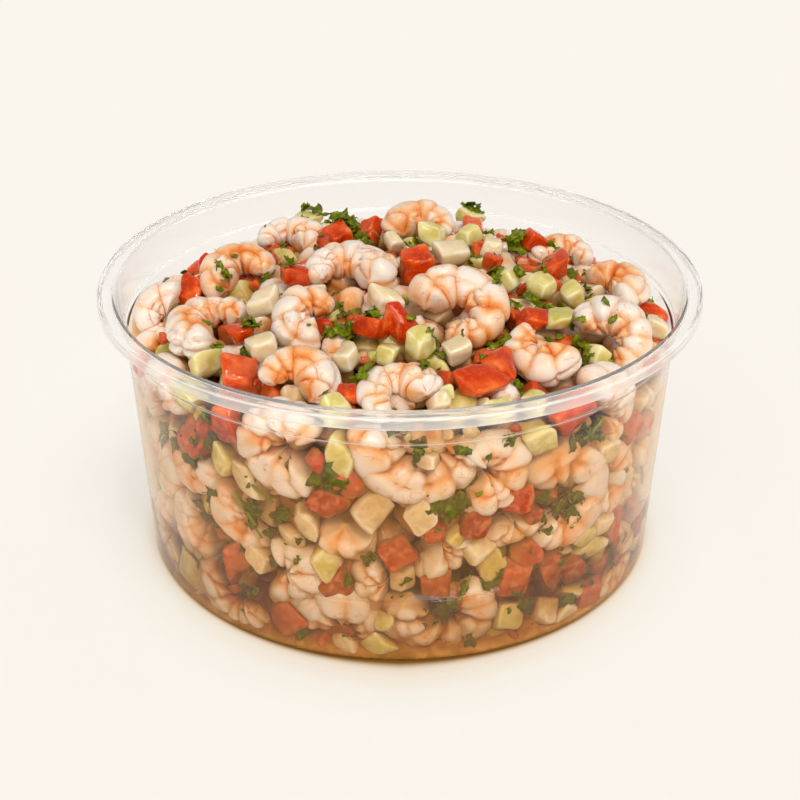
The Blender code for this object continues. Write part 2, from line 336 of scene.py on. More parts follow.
# ---------------------------------------------------------------- diced pieces
def block_grid(cuts):
    """Triangles and points of a cube from -1 to 1, with cuts rows that crowd near its edges."""
    places = np.linspace(-1.0, 1.0, cuts + 1)
    places = np.sign(places) * (1.0 - (1.0 - np.abs(places)) ** 1.6)
    faces, points, lookup = [], [], {}
    for axis in range(3):
        for side in (-1.0, 1.0):
            numbers = np.zeros((cuts + 1, cuts + 1), int)
            for i, p in enumerate(places):
                for j, q in enumerate(places):
                    spot = [0.0, 0.0, 0.0]
                    spot[axis], spot[(axis + 1) % 3], spot[(axis + 2) % 3] = side, p, q
                    key = tuple(round(value, 6) for value in spot)
                    if key not in lookup:
                        lookup[key] = len(points)
                        points.append(key)
                    numbers[i, j] = lookup[key]
            a, b = numbers[:-1, :-1].ravel(), numbers[1:, :-1].ravel()
            c, d = numbers[1:, 1:].ravel(), numbers[:-1, 1:].ravel()
            pair = np.concatenate([np.stack([a, b, c], 1), np.stack([a, c, d], 1)])
            faces.append(pair if side > 0 else pair[:, ::-1])
    return np.concatenate(faces), np.array(points)


FINE, MIDDLE, COARSE = 10, 6, 3
BLOCKS = {cuts: block_grid(cuts) for cuts in (COARSE, MIDDLE, FINE)}
# for each kind: how round its edges are, how rough its faces, and how often one side has skin
CUTS = {"tomato": (0.46, 0.22, 0.6), "cucumber": (0.60, 0.16, 0.2), "onion": (0.60, 0.17, 0.0)}


def diced_piece(kind, size, rng, cuts):
    """A knife-cut piece of tomato, cucumber or onion: a skewed block with uneven faces."""
    seed = int(rng.integers(1, 10_000))
    triangles, unit = BLOCKS[cuts]
    roundness, rough, skinned = CUTS[kind]
    half = np.asarray(size, float) / 2
    least = half.min()
    edge = roundness * least
    inner = np.clip(unit * half, -(half - edge), half - edge)
    away = unit * half - inner
    points = inner + away / np.maximum(np.linalg.norm(away, axis=1, keepdims=True), 1e-9) * edge
    # cuts that aren't square to each other
    skew = rng.normal(0.0, 0.15, (3, 3))
    np.fill_diagonal(skew, 0.0)
    points = points + points @ skew
    points[:, :2] *= 1.0 + rng.normal(0.0, 0.14) * points[:, 2:3] / half[2]
    # knife cuts that take off a corner
    for _ in range(3):
        normal = rng.normal(0.0, 1.0, 3)
        normal /= np.linalg.norm(normal)
        reach = points @ normal
        limit = reach.max() * rng.uniform(0.68, 0.95)
        points -= np.maximum(reach - limit, 0.0)[:, None] * normal * 0.90
    if kind == "onion":
        # bent like the layer it comes from
        points[:, 2] += rng.uniform(0.05, 0.11) * (points[:, 0] ** 2 / half[0] - half[0] / 2)
    direction = points / np.maximum(np.linalg.norm(points, axis=1, keepdims=True), 1e-9)
    points = points + direction * (rough * least * smooth_noise(points, 2.0, seed))[:, None]
    if kind == "tomato":
        pits = np.maximum(0.0, smooth_noise(points, 1.0, seed + 3))
        points = points - direction * (0.05 * least * pits)[:, None]
    skin = np.clip((unit[:, rng.integers(0, 3)] - 0.8) / 0.2, 0.0, 1.0)
    values = {
        "skin": skin * float(rng.uniform() <= skinned),
        "edge": np.clip((np.sort(np.abs(unit), axis=1)[:, 1] - 0.30) / 0.70, 0.0, 1.0) ** 2,
        "tone": np.full(len(points), rng.uniform(0.0, 1.0)),
        "grain": points[:, 2].copy(),
    }
    return points, triangles, values


# ---------------------------------------------------------------- chopped cilantro
LEAF_THICKNESS = 0.15


def leaf_bit(size, rng):
    """A scrap of chopped leaf: toothed, crumpled and thin."""
    count, rings = (18, 3) if size > 2.0 else (10, 2)
    turn = circle(count)
    lobes = int(rng.integers(2, 4))
    edge = 1.0 + 0.26 * np.cos(lobes * turn + rng.uniform(0, 6)) + rng.normal(0.0, 0.05, count)
    edge += 0.11 * np.where(np.arange(count) % 2 == 0, 1.0, -1.0)
    stretch = rng.uniform(0.5, 1.0)
    flat = [np.zeros((1, 2))]
    for part in (np.arange(rings) + 1.0) / rings:
        shape = 1.0 + (edge - 1.0) * part**2
        flat.append(np.stack([np.cos(turn) * shape, np.sin(turn) * shape * stretch], 1) * part * size / 2)
    flat = np.concatenate(flat)
    bend, fold = rng.uniform(-0.6, 0.9) / size, rng.uniform(0.1, 1.1) / size
    height = bend * flat[:, 0] ** 2 + fold * np.abs(flat[:, 1]) * size * 0.35
    level = np.concatenate([flat, np.zeros((len(flat), 1))], 1)
    seed = int(rng.integers(1, 9999))
    height = height + 0.40 * smooth_noise(level, 0.8, seed) + 0.5 * smooth_noise(level, 1.8, seed + 1)
    top = np.concatenate([flat, height[:, None]], 1)
    points = np.concatenate([top, top - np.array([0.0, 0.0, LEAF_THICKNESS])])
    first = np.arange(1, count + 1)
    upper = [fan(first, 0, False)]
    for ring in range(rings - 1):
        inner, outer = first + ring * count, first + (ring + 1) * count
        upper.append(np.stack([inner, outer, np.roll(outer, -1)], 1))
        upper.append(np.stack([inner, np.roll(outer, -1), np.roll(inner, -1)], 1))
    upper = np.concatenate(upper)
    under, rim = len(top), first + (rings - 1) * count
    after = np.roll(rim, -1)
    triangles = np.concatenate([
        upper, upper[:, ::-1] + under,
        np.stack([rim, rim + under, after + under], 1), np.stack([rim, after + under, after], 1),
    ])
    values = {
        "tone": np.full(len(points), rng.uniform(0.0, 1.0)), "stem": np.zeros(len(points)),
    }
    return points, outward(points, triangles), values


def stem_bit(length, rng):
    """A short length of bent stem with cut ends."""
    rows, sides = 6, 7
    along = np.linspace(0.0, 1.0, rows)
    bend = rng.uniform(0.1, 0.5) * length
    centre = np.stack([(along - 0.5) * length, bend * (along - 0.5) ** 2, 0.0 * along], 1)
    radius = rng.uniform(0.32, 0.5) * (1.0 - 0.25 * along)
    turn = circle(sides)
    ring = np.stack([0.0 * turn, np.cos(turn), np.sin(turn)], 1)
    points = (centre[:, None] + radius[:, None, None] * ring[None]).reshape(-1, 3)
    points = np.concatenate([points, centre[:1], centre[-1:]])
    values = {
        "tone": np.full(len(points), rng.uniform(0.0, 1.0)), "stem": np.ones(len(points)),
    }
    return points, outward(points, tube_triangles(rows, sides)), values


# ---------------------------------------------------------------- layout
def turn_matrix(opening, tilt, lean):
    """Rotation that lays a piece on the mound."""
    return np.array(
        Matrix.Rotation(math.radians(tilt), 3, "X")
        @ Matrix.Rotation(math.radians(lean), 3, "Y")
        @ Matrix.Rotation(math.radians(opening), 3, "Z")
    )


def wall_matrix(azimuth, opening, tilt, lean):
    """Rotation that stands a piece against the wall, seen from outside: x right, y up."""
    x, y = polar(1.0, math.radians(azimuth))
    face = np.array([(-y, x, 0.0), (0.0, 0.0, 1.0), (x, y, 0.0)]).T
    return face @ turn_matrix(opening, tilt, lean)


def spec_of(curl, girth, sweep, hand, rise, taper=TAIL_TAPER):
    """The measures of one shrimp: curl, half thickness, degrees of bend, hand, rise and taper."""
    return {
        "curl": curl, "girth": girth, "sweep": sweep, "hand": hand, "rise": rise, "taper": taper,
    }


# opening, tilt, lean, curl, girth, sweep, hand of the shrimp on top, as in the CAD
TOP_SHRIMP = {
    "shrimp_01": (-95, 4, 0, 6.0, 4.1, 240, 1),
    "shrimp_02": (205, 32, 0, 6.2, 4.1, 285, -1),
    "shrimp_03": (-20, 26, 8, 4.4, 3.7, 250, -1),
    "shrimp_04": (-30, 4, -6, 6.0, 4.0, 240, -1),
    "shrimp_05": (-20, 50, 10, 3.8, 3.4, 200, 1),
    "shrimp_06": (-60, 20, 0, 4.9, 3.8, 230, -1),
    "shrimp_07": (-110, 30, 8, 4.6, 4.0, 230, 1),
    "shrimp_08": (-50, 12, 0, 5.0, 3.4, 240, 1),
    "shrimp_09": (50, 34, -8, 4.3, 3.7, 235, -1),
    "shrimp_10": (215, 50, -14, 5.2, 3.8, 235, -1),
    "shrimp_11": (-90, 10, 0, 4.7, 3.7, 240, -1),
    "shrimp_12": (-150, 14, -6, 4.4, 4.0, 220, 1),
    "shrimp_13": (-100, 8, 0, 4.8, 3.4, 230, 1),
    "shrimp_14": (-90, 10, 0, 4.3, 3.3, 235, -1),
}
# turn, tilt, width, depth, height of the diced pieces on top, as in the CAD
TOP_DICE = {
    "tomato_01": (20, 12, 5.8, 5.4, 5.4),
    "tomato_02": (28, 14, 5.0, 4.8, 4.8),
    "tomato_03": (10, 18, 6.4, 6.0, 5.6),
    "tomato_04": (30, 20, 7.2, 6.0, 5.2),
    "tomato_05": (50, 25, 5.8, 5.0, 4.8),
    "cucumber_01": (25, 14, 5.0, 4.8, 4.7),
    "cucumber_02": (10, 12, 5.0, 5.0, 4.6),
    "onion_01": (15, 15, 5.2, 4.8, 4.4),
}


# how far behind the wall the haze begins, and how fast it thickens
HAZE_START, HAZE_REACH = 0.30, 2.6


def at_node(points, node):
    """Move points so that the middle of their box is the middle of a CAD node's box."""
    low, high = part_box(node)
    target = (np.array(low) + np.array(high)) / 2 / MM
    return points + (target - (points.min(0) + points.max(0)) / 2)


def sunk_of(points):
    """How far each point lies down among the juicy pieces: 0 on top, 1 from 6 mm down."""
    under_top = mound_height(points[:, 0], points[:, 1]) - points[:, 2]
    return np.clip((under_top + 0.5) / 6.5, 0.0, 1.0)


def with_depth(points, values):
    """A piece's values with, at each point, how deep it lies in the juice behind the wall."""
    from_wall = inner_radius(points[:, 2]) - np.hypot(points[:, 0], points[:, 1])
    deep = 1.0 - np.exp(-np.maximum(from_wall - HAZE_START, 0.0) / HAZE_REACH)
    sunk = sunk_of(points)
    return dict(values, haze=deep * sunk, sunk=sunk)


def inside_tub(points):
    """Press points that pass the wall or the floor back to the plastic, with their relief kept."""
    points = points.copy()
    over_floor = (points[:, 2] - FOOD_FLOOR) / PRESS_SOFTNESS
    points[:, 2] = FOOD_FLOOR + PRESS_SOFTNESS * np.logaddexp(0.0, over_floor)
    reach = np.hypot(points[:, 0], points[:, 1])
    limit = inner_radius(points[:, 2], WALL - INTO_WALL)
    room = PRESS_SOFTNESS * np.logaddexp(0.0, (limit - reach) / PRESS_SOFTNESS)
    points[:, :2] *= ((limit - room) / np.maximum(reach, 1e-9))[:, None]
    return points


def placed_part(part, rotation, place):
    """A part turned, moved and pressed inside the tub."""
    points = inside_tub(part[0] @ rotation.T + np.array(place, float))
    return points, part[1], with_depth(points, part[2])


# azimuth, height, opening, tilt, lean, curl, girth, sweep, hand of shrimp against the wall
WALL_SHRIMP = [
    (-84.0, 45.4, 82, 0, 0, 7.8, 4.0, 205, 1),
    (-73.0, 39.3, 190, 0, 8, 4.4, 3.5, 270, 1),
    (-113.0, 42.6, -12, 0, 0, 5.2, 3.9, 292, -1),
    (-55.0, 29.4, 186, 0, 0, 7.4, 4.2, 278, -1),
    (-94.5, 27.6, 70, 30, 20, 5.4, 4.2, 150, 1),
    (-80.5, 10.4, 108, 14, 0, 6.4, 3.9, 265, 1),
    (-113.5, 16.5, 180, 0, 0, 3.5, 3.9, 262, 1),
    (-101.5, 8.2, 262, 20, 0, 4.6, 3.6, 225, -1),
    (-127.5, 8.0, 62, 0, 0, 5.6, 3.6, 200, 1),
    (-137.5, 19.5, 25, 0, 20, 5.0, 3.4, 170, -1),
    (-123.5, 25.4, 40, 0, 10, 4.2, 3.6, 190, 1),
    (-137.5, 33.6, 92, 0, 0, 4.2, 3.3, 200, 1),
    (-81.6, 24.6, 125, 20, 20, 3.4, 3.6, 150, 1),
    (-92.6, 16.6, 5, 10, -20, 3.6, 3.4, 160, -1),
    (-44.0, 42.6, 200, 0, 0, 4.6, 3.6, 210, -1),
    (-66.5, 28.0, 100, 25, 0, 3.2, 3.5, 150, -1),
    (-40.0, 28.6, 170, 0, 0, 4.4, 3.5, 220, 1),
    (-31.0, 25.0, 60, 20, 0, 4.6, 3.6, 230, 1),
    (-35.5, 8.0, 150, 0, 0, 4.8, 3.6, 230, 1),
    (-148.5, 41.0, -60, 0, 0, 4.8, 3.6, 230, 1),
    (-150.0, 12.0, 10, 0, 0, 4.6, 3.6, 230, 1),
    (-153.0, 27.0, 200, 0, 0, 4.8, 3.7, 240, -1),
]
# azimuth, height, sizes of the diced pieces against the wall
WALL_DICE = {
    "tomato": [
        (-104.9, 31.2, 7.0, 6.6, 6.2), (-88.4, 22.8, 6.2, 5.8, 5.0), (-75.4, 28.2, 7.4, 6.0, 5.6),
        (-66.1, 35.0, 5.6, 6.4, 5.0), (-135.0, 39.2, 8.6, 7.0, 6.0), (-126.0, 42.8, 7.6, 7.2, 6.0),
        (-113.0, 5.2, 8.6, 8.0, 6.0), (-127.5, 15.0, 9.4, 7.6, 5.4), (-66.0, 17.0, 7.4, 7.2, 5.4),
        (-53.0, 13.4, 6.2, 7.4, 5.6), (-41.0, 4.4, 7.4, 8.0, 6.0), (-54.5, 45.0, 8.4, 6.6, 6.4),
        (-33.0, 36.4, 7.4, 7.0, 6.0), (-35.0, 17.8, 6.6, 8.6, 6.0), (-82.4, 18.6, 6.0, 5.4, 5.0),
        (-103.5, 13.4, 6.2, 5.6, 5.0), (-143.0, 26.0, 6.2, 5.6, 5.0), (-50.0, 9.6, 6.0, 5.6, 5.0),
        (-61.5, 21.5, 5.6, 5.6, 5.0), (-98.5, 40.0, 5.4, 6.6, 5.0),
    ],
    "cucumber": [
        (-100.4, 42.6, 5.6, 7.0, 6.0), (-103.2, 20.4, 6.6, 6.6, 6.0), (-96.6, 4.2, 7.2, 6.2, 6.0),
        (-65.9, 5.8, 7.0, 6.6, 6.0), (-63.4, 43.4, 6.0, 6.2, 6.0), (-71.6, 21.8, 6.2, 6.6, 5.6),
        (-41.0, 12.6, 6.0, 8.4, 5.6), (-143.4, 5.4, 8.6, 8.0, 6.0), (-127.0, 36.6, 6.8, 5.6, 5.6),
        (-47.0, 21.0, 5.0, 8.0, 5.0), (-139.0, 45.4, 6.0, 6.8, 5.6), (-94.6, 10.0, 4.4, 4.0, 4.4),
    ],
    "onion": [
        (-96.4, 34.4, 8.0, 6.8, 5.6), (-86.6, 33.0, 5.6, 5.6, 5.0), (-122.8, 34.8, 6.2, 7.6, 5.0),
        (-57.8, 4.4, 6.4, 6.4, 5.6), (-48.6, 3.6, 5.4, 6.6, 5.0), (-110.6, 27.2, 6.4, 6.0, 5.6),
        (-43.4, 19.6, 5.2, 7.0, 5.0), (-76.0, 23.4, 6.2, 5.2, 5.0), (-118.4, 18.6, 4.8, 5.4, 4.6),
        (-103.4, 3.4, 5.6, 5.4, 5.0), (-45.6, 34.4, 6.2, 6.0, 5.0), (-34.0, 31.0, 5.0, 6.0, 5.0),
    ],
}
# x, y, lift and sizes of further diced pieces on top
LOOSE_TOP = {
    "tomato": [
        (-38.8, 15.3, 0.6, 5.0, 5.4, 5.0), (-40.5, -2.9, 1.0, 6.8, 6.0, 5.4),
        (-14.5, 15.2, 1.4, 7.2, 6.4, 5.6), (-6.0, 21.6, 1.4, 5.0, 5.4, 5.2),
        (-20.1, -9.3, 1.6, 7.2, 5.0, 5.0), (-28.9, -26.0, 0.4, 5.0, 5.0, 4.6),
        (-5.1, -27.1, 0.4, 6.4, 6.6, 5.0), (-10.1, -42.6, -0.6, 4.4, 5.0, 4.4),
        (28.7, 15.8, 1.6, 8.2, 6.4, 5.2), (17.8, -0.9, 1.0, 5.0, 5.0, 4.6),
        (29.8, 2.5, 1.6, 6.4, 5.8, 5.2), (24.5, -19.5, 0.4, 5.4, 5.0, 4.6),
        (47.9, -3.5, 0.6, 5.8, 6.2, 5.2), (16.4, -37.4, 0.8, 6.8, 6.2, 5.6),
        (15.0, 27.0, 1.0, 5.6, 5.4, 5.0), (-26.0, 28.0, 1.0, 6.4, 5.6, 5.2),
    ],
    "cucumber": [
        (-2.5, -33.1, 0.6, 4.6, 5.0, 4.6), (-33.7, -30.2, 1.0, 8.4, 6.4, 5.2),
        (-10.7, -46.0, 0.8, 6.0, 5.0, 5.0), (6.6, 10.6, 1.8, 6.8, 6.2, 5.6),
        (12.9, 12.9, 1.4, 5.6, 5.2, 5.0), (20.2, -8.0, 1.8, 6.0, 5.4, 5.2),
        (26.2, -8.8, 1.8, 6.4, 5.6, 5.2), (33.0, -6.6, 1.2, 5.4, 5.2, 5.0),
        (34.3, -29.8, 0.4, 5.2, 5.2, 5.0), (16.5, -45.0, 0.4, 7.0, 6.0, 5.0),
        (22.4, -42.4, 0.6, 5.4, 5.0, 5.0), (-20.0, 30.0, 1.2, 6.4, 6.0, 5.4),
        (14.0, 36.0, 1.0, 6.4, 6.0, 5.4),
    ],
    "onion": [
        (-24.7, -17.5, 1.6, 5.6, 6.8, 5.2), (-9.2, -35.7, 1.0, 6.0, 6.0, 5.0),
        (-23.7, -32.3, 1.4, 6.4, 5.6, 5.0), (-16.0, -15.0, 0.6, 6.6, 4.6, 4.6),
        (-1.1, 8.5, 1.6, 4.8, 5.2, 4.6), (18.6, 9.0, 1.2, 5.2, 5.2, 4.6),
        (10.0, 1.2, 1.8, 8.2, 5.8, 4.6), (9.3, -33.4, 1.4, 5.8, 6.4, 5.2),
        (49.0, -10.5, 0.6, 5.2, 6.4, 5.0), (-30.0, 12.0, 0.8, 5.6, 5.0, 4.8),
        (2.0, 33.0, 1.2, 5.8, 5.4, 4.8),
    ],
}

DICE_SHRINK = 0.80
WALL_DICE_SHRINK = 0.93
WALL_GIRTH = 1.24
WALL_CURL = 1.12
# the front of the wall, where the pieces are laid out one by one, in degrees
FRONT_START, FRONT_END = -157.0, -24.0
KINDS = ["tomato", "cucumber", "onion"]
KIND_SHARES = [0.46, 0.27, 0.27]
BIT_SHARES = [0.42, 0.18, 0.40]


def layout_item(kind, measures, rotation, place, pull, near=False, behind=0.0):
    """A piece of the layout, as balls; pull is "wall" or "top", near if it is placed one by one."""
    if kind == "shrimp":
        along = np.linspace(0.05, 0.95, 6)
        balls, reach = shrimp_centre(along, measures)[0], 0.93 * body_radius(along, measures)
    else:
        balls, reach = np.zeros((1, 3)), np.array([0.50 * float(np.mean(measures))])
    return {
        "kind": kind, "measures": measures, "rotation": rotation, "place": np.array(place, float),
        "balls": balls @ rotation.T, "reach": reach, "pull": pull, "near": near, "behind": behind,
    }


def random_turn(rng):
    """A rotation with no preferred direction."""
    q, _ = np.linalg.qr(rng.normal(0.0, 1.0, (3, 3)))
    if np.linalg.det(q) < 0:
        q[:, 0] = -q[:, 0]
    return q


def loose_turn(rng, opening, spread):
    """Three angles: any opening up to a limit, and a chance tilt and lean."""
    return rng.uniform(0, opening), rng.normal(0, spread), rng.normal(0, spread)


def on_wall(azimuth, height, depth):
    """A point depth inside the wall."""
    return np.array([*polar(float(inner_radius(height)) - depth, math.radians(azimuth)), height])


def in_front(azimuth):
    """Whether an azimuth lies in the front of the wall."""
    return FRONT_START < (azimuth + 180.0) % 360.0 - 180.0 < FRONT_END


def random_shrimp_spec(rng):
    """The measures of a shrimp by chance."""
    girth = rng.uniform(3.3, 4.2)
    return spec_of(
        rng.uniform(3.8, 6.6) * girth / 3.8, girth, rng.uniform(190, 285),
        int(rng.choice([-1, 1])), rng.uniform(-2.5, 2.5),
    )


def random_dice(rng):
    """The kind and sizes of a diced piece by chance."""
    kind = str(rng.choice(KINDS, p=KIND_SHARES))
    return kind, rng.uniform(3.6, 6.6) * rng.uniform(0.8, 1.2, 3)


def laid_out_at_wall(rng):
    """The pieces against the front of the wall; the lowest are set a little lower still."""
    items = []
    for azimuth, height, opening, tilt, lean, curl, girth, sweep, hand in WALL_SHRIMP:
        spec = spec_of(WALL_CURL * curl, WALL_GIRTH * girth, sweep, hand, 1.0, WALL_TAPER)
        place = on_wall(azimuth, height - (1.2 if height < 12.0 else 0.0), 0.84 * spec["girth"])
        rotation = wall_matrix(azimuth, opening, tilt, lean)
        items.append(layout_item("shrimp", spec, rotation, place, "wall", True))
    for kind, rows in WALL_DICE.items():
        for azimuth, height, *size in rows:
            rotation = wall_matrix(azimuth, *loose_turn(rng, 90, 14))
            size = WALL_DICE_SHRINK * np.array(size)
            height -= 1.4 if height < 7.0 else 0.0
            place = on_wall(azimuth, height, 0.5 * size[2] + rng.uniform(0.0, 1.4))
            items.append(layout_item(kind, size, rotation, place, "wall", True))
    return items


def scattered_at_wall(rng):
    """The pieces against the back of the wall, along its foot, and behind those in front."""
    items = []
    for row, height in enumerate((7.0, 20.0, 32.5, 42.0)):
        for step in range(11):
            azimuth = -22.0 + step * 21.5 + (row % 2) * 10.0 + rng.normal(0, 3)
            if azimuth > 202:
                continue
            spec = random_shrimp_spec(rng)
            rotation = wall_matrix(azimuth, *loose_turn(rng, 360, 16))
            place = on_wall(azimuth, height + rng.normal(0, 1.5), 0.9 * spec["girth"])
            items.append(layout_item("shrimp", spec, rotation, place, "wall"))
    for _ in range(84):
        azimuth = rng.uniform(-26, 206)
        kind, size = random_dice(rng)
        rotation = wall_matrix(azimuth, *loose_turn(rng, 90, 25))
        place = on_wall(azimuth, rng.uniform(3, 43), rng.uniform(2, 6))
        items.append(layout_item(kind, size, rotation, place, "wall"))
    at_foot = 30
    for step in range(at_foot):
        azimuth = FRONT_START + (FRONT_END - FRONT_START) * (step + rng.uniform(0.0, 0.8)) / at_foot
        kind, size = random_dice(rng)
        rotation = wall_matrix(azimuth, *loose_turn(rng, 90, 25))
        place = on_wall(azimuth, rng.uniform(2.0, 3.4), rng.uniform(2.6, 4.0))
        items.append(layout_item(kind, size, rotation, place, "wall", behind=1.6))
    for row, height in enumerate((6.0, 15.0, 24.0, 33.0, 41.0)):
        for step in range(13):
            azimuth = step * 27.7 + (row % 2) * 14.0 + rng.normal(0, 4)
            spec = random_shrimp_spec(rng)
            place = on_wall(azimuth, height + rng.normal(0, 2.0), 10.5)
            behind = 4.2 if in_front(azimuth) else 0.0
            items.append(layout_item("shrimp", spec, random_turn(rng), place, "wall", behind=behind))
    for _ in range(150):
        kind, size = random_dice(rng)
        azimuth = rng.uniform(0, 360)
        behind = rng.uniform(2.4, 5.0) if in_front(azimuth) else 0.0
        place = on_wall(azimuth, rng.uniform(3, 43), rng.uniform(6, 11))
        items.append(layout_item(kind, size, random_turn(rng), place, "wall", behind=behind))
    return items


def top_items(rng):
    """Everything that lies on top besides the CAD's own pieces, and the layer under that."""
    items = []
    for kind, rows in LOOSE_TOP.items():
        for x, y, lift, *size in rows:
            rotation = turn_matrix(*loose_turn(rng, 90, 18))
            size = DICE_SHRINK * np.array(size)
            place = (x, y, mound_height(x, y) + lift - 0.3 * size[2])
            items.append(layout_item(kind, size, rotation, place, "top", True))
    near_wall = 36.0
    for ring, count in ((8.0, 4), (18.0, 8), (29.0, 12), (39.0, 15), (47.0, 17)):
        for step in range(count):
            azimuth = math.tau * (step + rng.uniform(0, 0.5)) / count
            x, y = polar(ring, azimuth)
            spec = random_shrimp_spec(rng)
            rotation = turn_matrix(*loose_turn(rng, 360, 25))
            behind = 4.0 if ring > near_wall and in_front(math.degrees(azimuth)) else 0.0
            place = (x, y, mound_height(x, y) - 7.0)
            items.append(layout_item("shrimp", spec, rotation, place, "top", behind=behind))
    for _ in range(150):
        kind, size = random_dice(rng)
        radius, azimuth = 50.0 * math.sqrt(rng.uniform()), rng.uniform(0, math.tau)
        x, y = polar(radius, azimuth)
        place = (x, y, mound_height(x, y) - rng.uniform(1.0, 7.0))
        hidden = radius > near_wall and in_front(math.degrees(azimuth))
        behind = rng.uniform(4.0, 7.0) if hidden else 0.0
        items.append(layout_item(kind, size, random_turn(rng), place, "top", behind=behind))
    return items


def hero_balls():
    """The CAD's own top pieces as balls that nothing else may lie in."""
    places, reaches = [], []
    for name, (opening, tilt, lean, curl, girth, sweep, hand) in TOP_SHRIMP.items():
        spec = spec_of(curl, girth, sweep, hand, 0.0)
        along = np.linspace(0.03, 0.97, 9)
        centre = shrimp_centre(along, spec)[0] @ turn_matrix(opening, tilt, lean).T
        places.append(at_node(centre, name))
        reaches.append(body_radius(along, spec) * 0.98)
    for name, (_, _, *size) in TOP_DICE.items():
        places.append(at_node(np.zeros((1, 3)), name))
        reaches.append(np.array([sum(size) / 3 * 0.55]))
    return np.concatenate(places), np.concatenate(reaches)


# how far a round may push, and draw to the wall or the top
LONGEST_PUSH, LONGEST_PULL = 1.6, 0.45
# for shrimp and for dice: how far a listed one may go, how far one may pass the wall, and
# how far the top
LEASH, PRESS, RISE_OVER = (0.8, 2.4), (0.7, 0.15), (0.8, -0.6)
NO_LIMIT = 99.0


def settle(items, rounds):
    """Push overlapping pieces apart while they are drawn to the wall or to the heap's top."""
    def each(field):
        return np.array([item[field] for item in items])

    def least(room):
        """The smallest room that any ball of each piece has."""
        found = np.full(len(items), NO_LIMIT)
        np.minimum.at(found, owner, room)
        return found

    hero_place, hero_reach = hero_balls()
    owner = np.concatenate([np.full(len(item["reach"]), k) for k, item in enumerate(items)])
    offset = np.concatenate([item["balls"] for item in items])
    reach = np.concatenate([item["reach"] for item in items])
    all_reach = np.concatenate([reach, hero_reach])
    start = place = each("place")
    near, shrimp, to_wall = each("near"), each("kind") == "shrimp", each("pull") == "wall"
    press = (np.where(shrimp, *PRESS) - each("behind"))[owner]
    rise_over = np.where(shrimp, *RISE_OVER)[owner]
    leash = np.where(shrimp, *LEASH)[:, None]
    count = np.bincount(owner)
    for step in range(rounds):
        strength = 1.0 - 0.6 * step / rounds
        balls = place[owner] + offset
        all_balls = np.concatenate([balls, hero_place])
        squares = (balls**2).sum(1)[:, None] + (all_balls**2).sum(1)[None]
        distance = np.sqrt(np.maximum(squares - 2.0 * balls @ all_balls.T, 1e-6))
        weight = np.maximum(reach[:, None] + all_reach[None] - distance, 0.0) / distance
        weight[:, :len(reach)][owner[:, None] == owner[None]] = 0.0
        shift = np.zeros_like(place)
        np.add.at(shift, owner, balls * weight.sum(1)[:, None] - weight @ all_balls)
        shift = shift / np.sqrt(count)[:, None] * 0.30
        length = np.linalg.norm(shift, axis=1, keepdims=True)
        shift *= np.minimum(1.0, LONGEST_PUSH / np.maximum(length, 1e-6))
        shift[near & shrimp] *= 0.35
        # drawn outward to the wall, or up to the top
        flat = np.hypot(balls[:, 0], balls[:, 1])
        wall_room = least(inner_radius(balls[:, 2]) + press - flat - reach)
        roof_room = least(mound_height(balls[:, 0], balls[:, 1]) + rise_over - balls[:, 2] - reach)
        floor_room = least(balls[:, 2] - reach)
        out = place[:, :2] / np.maximum(np.hypot(place[:, 0], place[:, 1]), 1.0)[:, None]
        pull = np.clip(wall_room, 0.0, LONGEST_PULL) * strength
        shift[:, :2] += out * np.where(to_wall & ~(near & ~shrimp), pull, 0.0)[:, None]
        shift[:, 2] += np.where(to_wall, 0.0, np.clip(roof_room, 0.0, LONGEST_PULL) * strength)
        # kept inside the wall, under the top and over the floor
        shift[:, :2] += out * np.minimum(wall_room, 0.0)[:, None]
        shift[:, 2] += np.where(near, 0.0, np.minimum(roof_room, 0.0) * 0.8)
        shift[:, 2] -= np.minimum(floor_room, 0.0)
        place = place + shift
        drift = place - start
        far = np.linalg.norm(drift, axis=1, keepdims=True)
        held = start + drift * np.minimum(1.0, leash / np.maximum(far, 1e-6))
        place = np.where(near[:, None], held, place)
    for item, spot in zip(items, place):
        item["place"] = spot


# ---------------------------------------------------------------- pieces from the layout
def finish_piece(piece, material, node=None):
    """Give a piece its body and material, and hide the CAD node it stands for, if any."""
    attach(piece, BODY)
    if node:
        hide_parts(node)
    piece.data.materials.append(material)
    return piece


def item_mesh(item, rng, stations=0, sides=0):
    """Points, triangles and values of one piece in its place."""
    if item["kind"] == "shrimp":
        part = shrimp_body(item["measures"], stations, sides, rng)
    else:
        part = diced_piece(item["kind"], item["measures"], rng, MIDDLE)
    return placed_part(part, item["rotation"], item["place"])


def hero_piece(name, rotation, part, material):
    """One of the pieces on top, in the place of its CAD node."""
    points = at_node(part[0] @ rotation.T, name)
    piece = mesh_object(name + "_flesh", points, part[1], with_depth(points, part[2]))
    return finish_piece(piece, material, name)


def top_shrimp(rng, material):
    """The fourteen shrimp on top."""
    made = []
    for name, (opening, tilt, lean, curl, girth, sweep, hand) in TOP_SHRIMP.items():
        part = shrimp_body(spec_of(curl, 1.06 * girth, sweep, hand, 0.0), 92, 44, rng)
        made.append(hero_piece(name, turn_matrix(opening, tilt, lean), part, material))
    return made


def top_dice(rng, materials):
    """The larger diced pieces on top."""
    made = []
    for name, (turn, tilt, *size) in TOP_DICE.items():
        kind = name.split("_")[0]
        part = diced_piece(kind, size, rng, FINE)
        made.append(hero_piece(name, turn_matrix(turn, tilt, tilt / 2), part, materials[kind]))
    return made


CORE_DEPTH = 9.5
CORE_CROWN_RADIUS = 42.0


